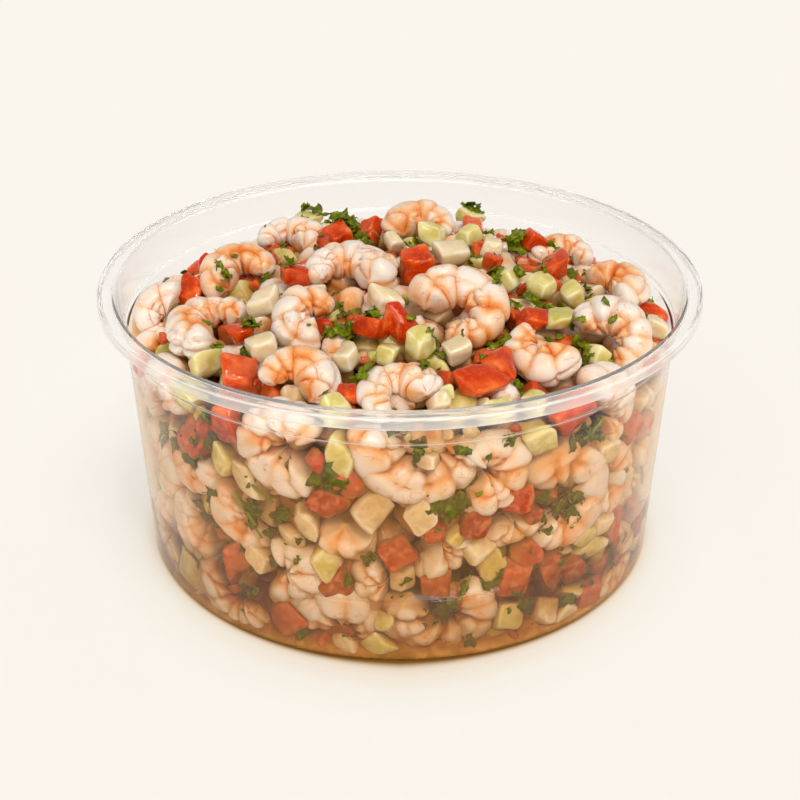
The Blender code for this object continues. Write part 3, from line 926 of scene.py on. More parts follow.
def core_piece(material):
    """The mass behind the pieces: an uneven body well inside the wall and under the top."""
    sides = 150
    turn = circle(sides)
    rows = []
    low = [0.16, 0.22, 0.32, 0.48, 0.7, 1.0, 1.4, 1.8]
    for height in np.concatenate([low, np.linspace(2.3, EDGE_HEIGHT - 7.0, 26)]):
        depth = CORE_DEPTH * min(1.0, max(0.0, height - 0.9) / 11.0)
        radius = inner_radius(height, 0.14 + 0.04 * height) - depth
        rows.append(ring_at(radius, height, turn))
    for part in np.linspace(1.0, 0.02, 26)[1:]:
        row = ring_at(CORE_CROWN_RADIUS * part, 0.0, turn)
        row[:, 2] = mound_height(row[:, 0], row[:, 1]) - CORE_DEPTH
        rows.append(row)
    points = np.concatenate(rows)
    lump = smooth_noise(points, 5.0, SEED) + 0.5 * smooth_noise(points, 2.2, SEED + 1)
    away = points - np.array([0.0, 0.0, 24.0])
    away /= np.linalg.norm(away, axis=1, keepdims=True)
    points = points + away * (1.3 * lump * np.clip((points[:, 2] - 0.8) / 8.0, 0.0, 1.0))[:, None]
    points = np.concatenate([points, points[:sides].mean(0)[None], points[-sides:].mean(0)[None]])
    triangles = outward(points, tube_triangles(len(rows), sides))
    piece = mesh_object("core", points, triangles, with_depth(points, {}))
    return finish_piece(piece, material, "ceviche")


def turned(outline, sides):
    """Points and triangles of a closed body turned round the axis from radii and heights."""
    turn = circle(sides)
    body = outline[1:-1]
    ends = [[0, 0, outline[0][1]], [0, 0, outline[-1][1]]]
    points = np.concatenate([ring_at(r, z, turn) for r, z in body] + [ends])
    return points, outward(points, tube_triangles(len(body), sides))


def gleam_of(points):
    """Where highlights are painted on the plastic: along the rim's edges, the lip and the ledge."""
    radius, height = np.hypot(points[:, 0], points[:, 1]), points[:, 2]
    painted_highlight = np.zeros(len(points))
    for most, place, level, reach in (
        (1.0, RIM_RADIUS - 0.1, TUB_HEIGHT - 0.35, 0.42),
        (1.0, RIM_RADIUS - 0.05, TUB_HEIGHT - LIP_HEIGHT + 0.2, 0.40),
        (0.5, RIM_RADIUS - FLANGE_WIDTH, TUB_HEIGHT - 0.3, 0.45),
        (0.7, LEDGE_RADIUS + 0.4, LEDGE_HEIGHT + 0.5, 0.4),
    ):
        away = np.hypot(radius - place, height - level)
        painted_highlight = np.maximum(painted_highlight, most * np.clip(1.0 - away / reach, 0.0, 1.0))
    return painted_highlight


def arc(centre, radius, start, end, steps):
    """Points of an arc; angles in degrees."""
    return [
        (centre[0] + radius * math.cos(math.radians(a)), centre[1] + radius * math.sin(math.radians(a)))
        for a in np.linspace(start, end, steps)
    ]


LEDGE_LEVELS = [LEDGE_HEIGHT + LEDGE_STEP * part for part in np.linspace(-0.7, 1.7, 11)]
FLOOR_RADII = (20.0, 40.0)
WALL_LEVELS = (16.0, 30.0, 42.0)


def ledge_radius(height):
    """Outer radius of the wall where it steps out at the ledge."""
    part = np.clip((height - LEDGE_LEVELS[0]) / (LEDGE_LEVELS[-1] - LEDGE_LEVELS[0]), 0.0, 1.0)
    lean = WALL_SLOPE * (height - LEDGE_HEIGHT)
    return float(LEDGE_RADIUS + lean + LEDGE_STEP * part * part * (3.0 - 2.0 * part))


def tub_piece(material):
    """The clear tub: foot, sloping wall, ledge, flange and the lip round it."""
    flange_inner = RIM_RADIUS - FLANGE_WIDTH
    under = TUB_HEIGHT - FLANGE_THICKNESS
    lip_bottom = TUB_HEIGHT - LIP_HEIGHT
    lip_inner = RIM_RADIUS - LIP_THICKNESS
    draft = math.degrees(DRAFT)
    centre = (CORNER_CENTRE, CORNER_RADIUS)
    outline = [(0.0, 0.0)] + [(r, 0.0) for r in FLOOR_RADII]
    outline += arc(centre, CORNER_RADIUS, -90, -draft, 12)
    outline += [(FOOT_RADIUS + WALL_SLOPE * z, z) for z in WALL_LEVELS]
    outline += [(ledge_radius(z), z) for z in LEDGE_LEVELS]
    outline += [(flange_inner + WALL - 0.2, under - 1.0)]
    outline += arc((flange_inner + WALL + 0.5, under - 0.6), 0.6, 170, 90, 6)
    outline += arc((lip_inner - 0.4, under - 0.4), 0.4, 90, 0, 6)
    outline += arc((RIM_RADIUS - 0.35, lip_bottom + 0.35), 0.35, 180, 360, 11)
    outline += arc((RIM_RADIUS - 0.6, TUB_HEIGHT - 0.6), 0.6, 0, 90, 9)
    outline += [(RIM_RADIUS - 0.5 * FLANGE_WIDTH, TUB_HEIGHT)]
    outline += arc((flange_inner + 0.6, TUB_HEIGHT - 0.6), 0.6, 90, 176, 9)
    outline += [(ledge_radius(z) - WALL, z) for z in reversed(LEDGE_LEVELS)]
    outline += [(float(inner_radius(z)), z) for z in reversed(WALL_LEVELS)]
    outline += arc(centre, CORNER_RADIUS - WALL, -draft, -90, 12)
    outline += [(r, WALL) for r in reversed(FLOOR_RADII)] + [(0.0, WALL)]
    points, triangles = turned(outline, 256)
    piece = mesh_object("tub_shell", points, triangles, {"painted_highlight": gleam_of(points)})
    return finish_piece(piece, material, "tub")


def juice_piece(material):
    """The cloudy juice in the bottom, reaching just into the wall."""
    reach = 0.12
    heights = np.concatenate([[0.65, 0.8, 1.1, 1.6, 2.3, 3.2, 4.2], np.linspace(5.0, JUICE_LEVEL, 7)])
    outline = [(0.0, WALL - reach), (FLOOR_RADII[0], WALL - reach)]
    outline += [(float(inner_radius(z)) + reach, z) for z in heights]
    outline += [(r, JUICE_LEVEL) for r in reversed(FLOOR_RADII)] + [(0.0, JUICE_LEVEL)]
    piece = mesh_object("juice_pool", *turned(outline, 160))
    return finish_piece(piece, material, "juice")


# azimuth, height and size of leaf clumps against the wall
WALL_LEAVES = [
    (-80.2, 34.9, 6.6), (-104.7, 39.0, 6.4), (-103.6, 37.0, 4.6), (-132.8, 28.6, 5.0), (-53.3, 27.2, 6.2),
    (-53.0, 24.6, 3.6), (-115.1, 29.8, 4.0), (-79.5, 12.0, 4.6), (-120.7, 29.1, 4.0), (-131.4, 40.5, 4.0),
    (-134.6, 38.4, 4.0), (-50.4, 40.9, 4.2), (-48.0, 41.6, 3.4), (-121.4, 25.4, 2.6), (-130.9, 45.2, 2.4),
    (-123.1, 9.8, 3.0), (-76.3, 15.4, 3.2), (-69.6, 17.4, 2.4), (-69.0, 46.0, 2.8), (-117.2, 24.2, 2.0),
    (-121.1, 34.6, 2.4), (-62.7, 8.9, 3.4), (-66.0, 12.4, 3.0), (-44.4, 5.5, 3.6), (-141.6, 35.6, 5.0),
    (-137.4, 33.0, 4.6), (-111.0, 20.4, 2.2), (-96.0, 23.0, 2.0), (-86.5, 45.1, 2.2), (-63.0, 20.6, 2.2),
]
# azimuth, height, length and slope of stems against the wall
WALL_STEMS = [
    (-122.6, 28.6, 7.4, -52), (-120.6, 25.6, 5.6, -60), (-76.8, 15.2, 6.4, 68), (-139.4, 31.8, 7.0, -38),
    (-49.0, 42.6, 5.4, 28), (-73.6, 36.2, 3.4, 30), (-128.6, 15.4, 3.4, -70), (-118.0, 33.0, 5.0, -30),
]
# x, y and size of leaf clumps on top
TOP_LEAVES = [
    (-5.0, -36.5, 5.2), (-7.0, -40.6, 5.2), (4.2, -40.0, 4.0), (-26.4, -28.2, 6.4), (-29.6, -29.8, 3.8),
    (-9.7, -27.3, 6.0), (-12.4, -25.2, 4.4), (-11.4, 15.2, 6.0), (-8.0, 18.4, 4.8), (25.2, -13.4, 5.4),
    (22.3, 15.5, 5.8), (18.9, -6.8, 4.6), (3.4, 3.0, 4.8), (-5.3, -28.0, 3.8), (20.3, -17.2, 3.8),
    (11.8, -36.7, 4.0), (6.7, -28.1, 3.2), (6.0, -34.2, 3.2), (-27.6, -24.3, 3.2), (32.4, -24.3, 3.0),
    (-21.3, -10.3, 3.4), (33.0, -30.4, 3.4), (-21.5, 9.0, 3.4), (36.1, -24.0, 2.6), (13.9, 6.5, 3.0),
    (49.2, 6.7, 3.0), (-10.3, -17.5, 2.6), (-32.5, -31.3, 2.6), (36.8, -1.6, 3.4), (13.9, -3.4, 2.6),
    (-33.7, -4.9, 2.6), (-8.7, -31.2, 2.4), (27.3, -24.9, 2.2), (17.9, -20.6, 2.2), (-24.8, 14.9, 2.4),
    (-37.0, 8.0, 4.0), (-32.0, 18.0, 4.6), (4.0, 30.0, 5.0), (30.0, 26.0, 5.0), (-18.0, 34.0, 5.0),
    (16.0, 38.0, 4.6), (42.0, 16.0, 4.0), (-44.0, 20.0, 3.6), (-4.0, 44.0, 4.4),
]
# how far from the axis bits lie on top, where plumb lines start, and the depth behind the wall
# that counts as empty
TOP_REACH = 50.0
WELL_ABOVE = 80.0
NOTHING_NEAR = 9.0
# how many chance bits of vegetable, leaf and stem are tried
TOP_BITS, WALL_BITS = 620, 240
TOP_LEAF_BITS, WALL_LEAF_BITS, BACK_STEMS = 820, 760, 20


def facing(normal, rng):
    """A rotation that turns +Z to a normal, with a chance turn about it."""
    z = np.array(normal, float)
    z /= np.linalg.norm(z)
    side = rng.normal(0.0, 1.0, 3)
    x = side - z * side.dot(z)
    x /= np.linalg.norm(x)
    return np.stack([x, np.cross(z, x), z], 1)


def tree_of(parts):
    """A search tree over the surfaces of parts."""
    points, triangles, _ = join([(part[0], part[1], {}) for part in parts])
    return BVHTree.FromPolygons(points.tolist(), triangles.tolist())


def from_above(surface, x, y):
    """Where a plumb line first meets the food: point, normal and depth under the heap's top."""
    hit, normal, _, _ = surface.ray_cast(Vector((x, y, WELL_ABOVE)), Vector((0.0, 0.0, -1.0)))
    if hit is None:
        return None
    return np.array(hit), np.array(normal), float(mound_height(x, y)) - hit.z


def from_outside(surface, azimuth, height):
    """How far behind the wall the food begins."""
    start = on_wall(azimuth, height, -1.0)
    inward = Vector((-start[0], -start[1], 0.0)).normalized()
    hit, _, _, _ = surface.ray_cast(Vector(start), inward)
    return NOTHING_NEAR if hit is None else float((hit - Vector(start)).length) - 1.0


def on_disc(rng, radius):
    """A chance point on a disc."""
    return polar(radius * math.sqrt(rng.uniform()), rng.uniform(0.0, math.tau))


def chance_size(rng, middle, spread, least, most):
    """A size by chance: many small, few large."""
    return float(np.clip(rng.lognormal(middle, spread), least, most))


def small_bits(rng, surface):
    """Scraps of the cut vegetables that fill the gaps on top and behind the wall."""
    made = {kind: [] for kind in KINDS}

    def lay(size, place):
        kind = str(rng.choice(KINDS, p=BIT_SHARES))
        part = diced_piece(kind, size * rng.uniform(0.7, 1.25, 3), rng, COARSE)
        made[kind].append(placed_part(part, random_turn(rng), place))

    for _ in range(TOP_BITS):
        found = from_above(surface, *on_disc(rng, TOP_REACH))
        if found is None or found[2] < rng.uniform(0.3, 2.4):
            continue
        size = chance_size(rng, 0.85, 0.35, 1.4, 3.6)
        lay(size, found[0] + found[1] * 0.25 * size)
    for _ in range(WALL_BITS):
        azimuth, height = rng.uniform(0.0, 360.0), rng.uniform(2.4, 45.0)
        depth = from_outside(surface, azimuth, height)
        if depth < 2.2:
            continue
        size = chance_size(rng, 1.1, 0.25, 2.2, 4.4)
        lay(size, on_wall(azimuth, height, max(0.4 * size, min(depth - 0.3 * size, rng.uniform(1.0, 5.0)))))
    return made


def chopped_cilantro(rng, surface):
    """Scraps of leaf and short stems, on the pieces, between them and against the wall."""
    on_top, at_wall = [], []

    def lay(parts, part, rotation, place):
        parts.append(placed_part(part, rotation, place))

    def lay_on_top(x, y, size, lift, crumple):
        found = from_above(surface, x, y)
        if found is None:
            return
        place, normal, _ = found
        tilted = normal * 0.8 + np.array([0.0, 0.0, 0.35]) + rng.normal(0.0, crumple, 3)
        lay(on_top, leaf_bit(size, rng), facing(tilted, rng), place + normal * lift)

    def lay_at_wall(azimuth, height, size, depth, crumple):
        out = np.array([*polar(1.0, math.radians(azimuth)), 0.06]) + rng.normal(0.0, crumple, 3)
        lay(at_wall, leaf_bit(size, rng), facing(out, rng), on_wall(azimuth, height, depth))

    for x, y, size in TOP_LEAVES:
        for step in range(3 + int(size)):
            dx, dy = rng.normal(0.0, 0.21 * size, 2)
            lay_on_top(x + dx, y + dy, size * rng.uniform(0.38, 0.78), 0.25 + 0.10 * step, 0.42)
    for azimuth, height, size in WALL_LEAVES:
        for step in range(4 + int(size)):
            across, up = rng.normal(0.0, 0.21 * size, 2)
            depth = 0.25 + 0.28 * step
            lay_at_wall(azimuth + across, height + up, size * rng.uniform(0.4, 0.8), depth, 0.30)
    for azimuth, height, length, slope in WALL_STEMS:
        lay(at_wall, stem_bit(length, rng), wall_matrix(azimuth, slope, 0, 0), on_wall(azimuth, height, 0.4))
    for _ in range(TOP_LEAF_BITS):
        x, y = on_disc(rng, TOP_REACH)
        found = from_above(surface, x, y)
        if found is None or rng.uniform() > 0.09 + 0.9 * min(1.0, max(0.0, found[2] + 0.2) / 3.0):
            continue
        if rng.uniform() < 0.06:
            turn = facing(found[1] + rng.normal(0.0, 0.3, 3), rng)
            lay(on_top, stem_bit(rng.uniform(1.6, 4.6), rng), turn, found[0] + found[1] * 0.25)
            continue
        size = chance_size(rng, 0.45, 0.55, 0.6, 4.6 if found[2] > 0.6 else 1.9)
        lay_on_top(x, y, size, 0.22, 0.3)
        if size > 2.6:
            for _ in range(3):
                dx, dy = rng.normal(0.0, 0.3 * size, 2)
                lay_on_top(x + dx, y + dy, size * rng.uniform(0.4, 0.8), 0.3, 0.45)
    for _ in range(WALL_LEAF_BITS):
        azimuth, height = rng.uniform(0.0, 360.0), rng.uniform(2.4, 45.5)
        depth = from_outside(surface, azimuth, height)
        if rng.uniform() > (0.12 if depth < 1.0 else 0.75):
            continue
        size = chance_size(rng, 0.40, 0.55, 0.6, 4.4 if depth > 1.0 else 1.7)
        lay_at_wall(azimuth, height, size, max(0.2, min(depth - 0.3, rng.uniform(0.2, 4.5))), 0.35)
    for _ in range(BACK_STEMS):
        azimuth = rng.uniform(-25.0, 205.0)
        rotation = wall_matrix(azimuth, rng.uniform(0, 180), 0, 0)
        lay(at_wall, stem_bit(rng.uniform(3, 7), rng), rotation, on_wall(azimuth, rng.uniform(4, 42), 0.5))
    return {"cilantro_on_top": on_top, "cilantro_at_wall": at_wall}


# ---------------------------------------------------------------- materials
def linear(red, green, blue):
    """A screen colour, 0 to 255, as linear light."""
    def one(value):
        value /= 255.0
        return value / 12.92 if value <= 0.04045 else ((value + 0.055) / 1.055) ** 2.4
    return one(red), one(green), one(blue), 1.0


class Look:
    """A node material, or a world, being put together."""

    def __init__(self, name, blocks=bpy.data.materials):
        self.block = blocks.new(name)
        self.block.use_nodes = True
        self.tree = self.block.node_tree
        self.tree.nodes.clear()
        self.place = self.add("ShaderNodeTexCoord").outputs["Object"]

    def add(self, kind, inputs=None, **settings):
        node = self.tree.nodes.new(kind)
        for key, value in settings.items():
            setattr(node, key, value)
        for key, value in (inputs or {}).items():
            self.put(value, node.inputs[key])
        return node

    def put(self, value, socket):
        if isinstance(value, bpy.types.NodeSocket):
            self.tree.links.new(value, socket)
        else:
            socket.default_value = value

    def value(self, name):
        """What the mesh says at each point."""
        return self.add("ShaderNodeAttribute", attribute_name=name).outputs["Fac"]

    def height(self):
        """How high each point is, in metres."""
        return self.add("ShaderNodeSeparateXYZ", {"Vector": self.place}).outputs["Z"]

    def noise(self, size, detail=3.0, rough=0.55):
        """Noise from 0 to 1 with features about size millimetres across."""
        inputs = {
            "Vector": self.place, "Scale": 1.0 / (size * MM), "Detail": detail, "Roughness": rough,
        }
        return self.add("ShaderNodeTexNoise", inputs).outputs["Fac"]

    def patches(self, size, low, high, detail=3.0):
        """Patches of noise with soft edges."""
        return self.step(self.noise(size, detail), low, high)

    def vector(self, operation, inputs):
        return self.add("ShaderNodeVectorMath", inputs, operation=operation).outputs

    def warped(self, size, amount):
        """The place of each point, pushed about by noise, so that patterns run unevenly."""
        inputs = {"Vector": self.place, "Scale": 1.0 / (size * MM), "Detail": 2.0}
        push = self.add("ShaderNodeTexNoise", inputs).outputs["Color"]
        half = self.vector("SUBTRACT", {0: push, 1: (0.5, 0.5, 0.5)})[0]
        scaled = self.vector("SCALE", {0: half, "Scale": amount * 2.0 * MM})[0]
        return self.vector("ADD", {0: self.place, 1: scaled})[0]

    def math(self, operation, a, b=0.0):
        return self.add("ShaderNodeMath", {0: a, 1: b}, operation=operation).outputs[0]

    def times(self, a, b):
        return self.math("MULTIPLY", a, b)

    def most(self, a, b):
        return self.math("MAXIMUM", a, b)

    def scaled(self, value, factor, offset):
        """A value times a factor plus an offset."""
        inputs = {0: value, 1: factor, 2: offset}
        return self.add("ShaderNodeMath", inputs, operation="MULTIPLY_ADD").outputs[0]

    def blend(self, terms, offset):
        """The clamped sum of (socket, weight) terms and an offset."""
        total = offset
        for socket, weight in terms:
            total = self.scaled(socket, weight, total)
        total.node.use_clamp = True
        return total

    def step(self, value, low, high):
        """A smooth step from 0 at low to 1 at high."""
        inputs = {"Value": value, "From Min": low, "From Max": high}
        return self.add("ShaderNodeMapRange", inputs, interpolation_type="SMOOTHSTEP").outputs[0]

    def mix(self, factor, a, b, **settings):
        return self.add("ShaderNodeMix", {0: factor, 6: a, 7: b}, data_type="RGBA", **settings).outputs[2]

    def paint(self, colour, over, factor, strength=1.0):
        """A colour painted over another where the factor says, at most as strong as said."""
        return self.mix(self.times(factor, strength), colour, over)

    def ramp(self, factor, stops):
        node = self.add("ShaderNodeValToRGB", {"Fac": factor})
        band = node.color_ramp
        while len(band.elements) < len(stops):
            band.elements.new(0.5)
        for element, (spot, colour) in zip(band.elements, stops):
            element.position = spot
            element.color = colour
        return node.outputs["Color"]

    def shades(self, factor, stops):
        """A ramp of screen colours."""
        return self.ramp(factor, [(spot, linear(*colour)) for spot, *colour in stops])

    def bump(self, height, depth, strength=1.0):
        """A bump from a 0 to 1 height, depth in millimetres."""
        inputs = {"Height": height, "Distance": depth * MM, "Strength": strength}
        return self.add("ShaderNodeBump", inputs).outputs["Normal"]

    def shader(self, kind, inputs):
        return self.add("ShaderNode" + kind, inputs).outputs[0]

    def finish(self, surface, volume=None):
        output = self.add("ShaderNodeOutputMaterial", {"Surface": surface})
        if volume is not None:
            self.put(volume, output.inputs["Volume"])
        return self.block


FOG_LOW = linear(174, 122, 50)
FOG_HIGH = linear(194, 134, 64)
FOG_RUDDY = linear(176, 90, 36)
# colour of the juice, which also serves as painted shade in the gaps under the heap's top
JUICE_AND_SHADE_TINT = linear(212, 192, 158)


def fogged(look, colour, most=0.85, cloud=0.29):
    """The colour of a piece in cloudy juice: tinted by it, a tint that also darkens and warms the gaps under
    the heap's top as painted shade, and fading into it with depth.
    """
    level = look.step(look.height(), 1.0 * MM, 44.0 * MM)
    haze, sunk = look.value("haze"), look.value("sunk")
    tinted = look.mix(1.0, colour, JUICE_AND_SHADE_TINT, blend_type="MULTIPLY")
    # the juice tint, stronger lower among the pieces, is partly the juice's own colour and partly painted
    # shade in the gaps
    juice_and_painted_shade = look.times(look.step(sunk, 0.0, 0.6), look.scaled(look.step(haze, 0.0, 0.25), 0.35, 0.65))
    colour = look.mix(look.scaled(juice_and_painted_shade, 0.90, 0.10), colour, tinted)
    fog = look.mix(level, FOG_LOW, FOG_HIGH)
    fog = look.paint(fog, FOG_RUDDY, look.times(look.noise(6.0), level), 0.30)
    # a thin film of juice on the plastic clouds even what touches it, more so lower down
    film = look.times(look.scaled(level, -0.20, cloud), sunk)
    return look.mix(look.most(look.times(haze, most), film), colour, fog)


def wet_food(look, colour, roughness, glow, bump, subsurface, scale, coat=0.5):
    """Finish moist food: scattering inside, and a gloss that fades where it lies in juice."""
    bare = look.math("SUBTRACT", 1.0, look.times(look.value("sunk"), 0.88))
    normal = look.bump(*bump)
    return look.finish(look.shader("BsdfPrincipled", {
        "Base Color": colour, "Roughness": roughness,
        "Specular IOR Level": look.times(bare, 0.34), "Specular Tint": (1.0, 0.84, 0.42, 1.0),
        "Subsurface Weight": subsurface, "Subsurface Scale": scale * MM,
        "Subsurface Radius": glow, "Normal": normal,
        "Coat Weight": look.times(bare, coat), "Coat Roughness": 0.03,
        "Coat IOR": 1.33, "Coat Normal": normal,
    }))


def pale_edges(look, colour, pale, strength, start, patch):
    """Painted highlights on the cut edges, here and there."""
    here = look.patches(*patch)
    # pale is the painted highlight's colour, laid over the points near an edge
    return look.paint(colour, pale, look.times(look.step(look.value("edge"), start, 1.0), here), strength)


def watery(look, colour, tint, strength, patch):
    """Glassy patches where a piece has lain in the juice."""
    return look.paint(colour, tint, look.times(look.patches(*patch), look.value("sunk")), strength)


def shrimp_look():
    """Cooked shrimp: pale on its lobes, orange in its creases, with veins and specks."""
    look = Look("shrimp_flesh")
    valley = look.math("SUBTRACT", 1.0, look.value("lobe"))
    depth = look.blend([
        (valley, 0.62), (look.value("belly"), 0.16), (look.value("blush"), 0.50),
        (look.value("tone"), 0.24), (look.noise(3.4), 0.60), (look.value("sunk"), -0.20),
    ], -0.53)
    colour = look.shades(depth, [
        (0.0, 239, 226, 214), (0.24, 241, 211, 184), (0.50, 240, 184, 132),
        (0.76, 234, 146, 76), (1.0, 220, 108, 32),
    ])
    lines = look.times(look.step(look.value("gap"), 0.30, 0.05), look.patches(3.2, 0.36, 0.56))
    colour = look.paint(colour, linear(216, 96, 26), lines, 0.75)
    cracks = look.add("ShaderNodeTexVoronoi", {
        "Vector": look.warped(0.9, 0.5), "Scale": 1.0 / (2.1 * MM),
    }, feature="DISTANCE_TO_EDGE").outputs["Distance"]
    veins = look.times(look.step(cracks, 0.055, 0.0), look.patches(3.6, 0.50, 0.62))
    colour = look.paint(colour, linear(216, 98, 44), veins, 0.55)
    specks = look.times(look.patches(0.6, 0.60, 0.70, 2.0), look.patches(3.0, 0.50, 0.62))
    colour = look.paint(colour, linear(232, 132, 92), specks, 0.55)
    roughness = look.scaled(look.noise(1.5), 0.18, 0.20)
    bump = (look.noise(0.7), 0.08, 0.5)
    return wet_food(look, fogged(look, colour), roughness, (1.0, 0.45, 0.25), bump, 0.30, 1.5)


def tomato_look():
    """Tomato flesh: streaked red, paler in some pieces, with skin on some sides, painted highlights on cut
    edges, and painted shade lower among the pieces.
    """
    look = Look("tomato_flesh")
    colour = look.shades(look.noise(3.4, 2.0, 0.5), [
        (0.24, 170, 34, 0), (0.44, 202, 54, 0), (0.58, 220, 80, 12), (0.70, 236, 118, 56),
        (0.82, 244, 150, 98),
    ])
    pale = look.times(look.step(look.value("tone"), 0.45, 1.0), look.patches(2.6, 0.36, 0.58))
    colour = look.paint(colour, linear(232, 128, 86), pale, 0.70)
    colour = look.paint(colour, linear(198, 40, 2), look.value("skin"))
    # painted highlights along the cut edges
    colour = pale_edges(look, colour, linear(238, 112, 44), 0.45, 0.3, (2.2, 0.30, 0.62))
    colour = look.paint(colour, linear(248, 170, 120), look.patches(0.5, 0.56, 0.70, 2.0), 0.16)
    # painted shade: lower among the pieces the flesh is darkened towards deep red, more in some pieces than
    # others
    deep = look.scaled(look.step(look.value("tone"), 0.75, 0.10), 0.50, 0.42)
    colour = look.paint(colour, linear(140, 30, 8), look.value("sunk"), deep)
    colour = watery(look, colour, linear(238, 150, 112), 0.42, (1.5, 0.47, 0.64))
    bump = (look.noise(1.5, 2.0), 0.24, 0.7)
    return wet_food(look, fogged(look, colour, 0.85, 0.27), 0.08, (1.0, 0.25, 0.08), bump, 0.45, 1.6)


def cucumber_look():
    """Cucumber flesh: yellow-green and glassy, with painted highlights on its edges and skin on some sides.
    """
    look = Look("cucumber_flesh")
    colour = look.shades(look.noise(2.2, 4.0), [
        (0.32, 206, 188, 92), (0.50, 220, 206, 130), (0.68, 234, 224, 176),
    ])
    colour = look.paint(colour, linear(216, 202, 118), look.value("tone"), 0.4)
    colour = watery(look, colour, linear(178, 156, 72), 0.45, (1.9, 0.46, 0.62))
    # painted highlights along the cut edges
    colour = pale_edges(look, colour, linear(248, 240, 212), 0.60, 0.2, (2.4, 0.26, 0.56))
    colour = look.paint(colour, linear(176, 172, 48), look.value("skin"), 0.6)
    bump = (look.noise(1.6, 2.0), 0.20, 0.6)
    return wet_food(look, fogged(look, colour), 0.12, (1.0, 0.9, 0.4), bump, 0.6, 2.4, 0.9)


def onion_look():
    """Onion: cream and faintly layered, clouded, with painted highlights on its edges."""
    look = Look("onion_flesh")
    layers = look.math("SINE", look.times(look.value("grain"), 3.4))
    colour = look.shades(look.scaled(layers, 0.3, 0.5), [
        (0.0, 242, 226, 200), (0.5, 236, 216, 182), (1.0, 228, 204, 160),
    ])
    colour = look.paint(colour, linear(222, 200, 148), look.patches(1.8, 0.42, 0.62), 0.45)
    colour = look.paint(colour, linear(224, 202, 150), look.value("tone"), 0.5)
    colour = watery(look, colour, linear(196, 158, 104), 0.45, (1.9, 0.46, 0.62))
    # painted highlights along the cut edges
    colour = pale_edges(look, colour, linear(250, 242, 230), 0.62, 0.2, (2.4, 0.26, 0.56))
    bump = (look.noise(1.9, 2.0), 0.20, 0.6)
    return wet_food(look, fogged(look, colour), 0.12, (1.0, 0.85, 0.6), bump, 0.6, 2.4, 0.9)


def cilantro_look():
    """Chopped cilantro: dark to fresh green leaf, paler stems, and painted shade on leaves lower among the
    pieces.
    """
    look = Look("cilantro_leaf")
    colour = look.shades(look.noise(0.9, 4.0), [
        (0.28, 46, 56, 0), (0.46, 88, 100, 0), (0.60, 128, 138, 4), (0.74, 174, 182, 40),
    ])
    colour = look.paint(colour, linear(104, 122, 6), look.value("tone"), 0.30)
    colour = look.paint(colour, linear(156, 166, 44), look.value("stem"))
    # painted shade: leaves lower among the pieces are darkened
    colour = look.paint(colour, linear(62, 72, 0), look.value("sunk"), 0.45)
    bump = (look.noise(0.5), 0.12, 0.8)
    return wet_food(look, fogged(look, colour, 0.32, 0.04), 0.35, (0.4, 1.0, 0.2), bump, 0.1, 0.4, 0.2)


def core_look():
    """The mass that shows in the gaps: mottled brown, with a painted shadow darkening its foot."""
    look = Look("inner_mass")
    colour = look.shades(look.noise(4.0, 5.0, 0.65), [
        (0.30, 120, 66, 18), (0.48, 172, 112, 50), (0.60, 202, 150, 86), (0.75, 186, 92, 36),
    ])
    colour = fogged(look, colour, 0.9)
    # painted shadow: the lowest 1.6 mm turns dark brown where it meets the tub's floor
    foot = look.step(look.height(), 1.6 * MM, 0.2 * MM)
    colour = look.paint(colour, linear(104, 68, 22), foot, 0.75)
    bump = (look.noise(1.4, 4.0), 0.5, 0.8)
    return wet_food(look, colour, 0.4, (1.0, 0.5, 0.3), bump, 0.0, 1.0, 0.0)


def glass(look, tint, roughness, index):
    """The shader of a clear body."""
    return look.shader("BsdfPrincipled", {
        "Base Color": tint, "Roughness": roughness, "IOR": index, "Transmission Weight": 1.0,
    })


def finish_clear(look, surface, volume=None):
    """Finish a clear body so that it lets lamp light through to what is in it."""
    through = look.shader("BsdfTransparent", {"Color": (0.97, 0.97, 0.97, 1.0)})
    shadow = look.add("ShaderNodeLightPath").outputs["Is Shadow Ray"]
    return look.finish(look.shader("MixShader", {0: shadow, 1: surface, 2: through}), volume)


RIM_HAZE = 54.0


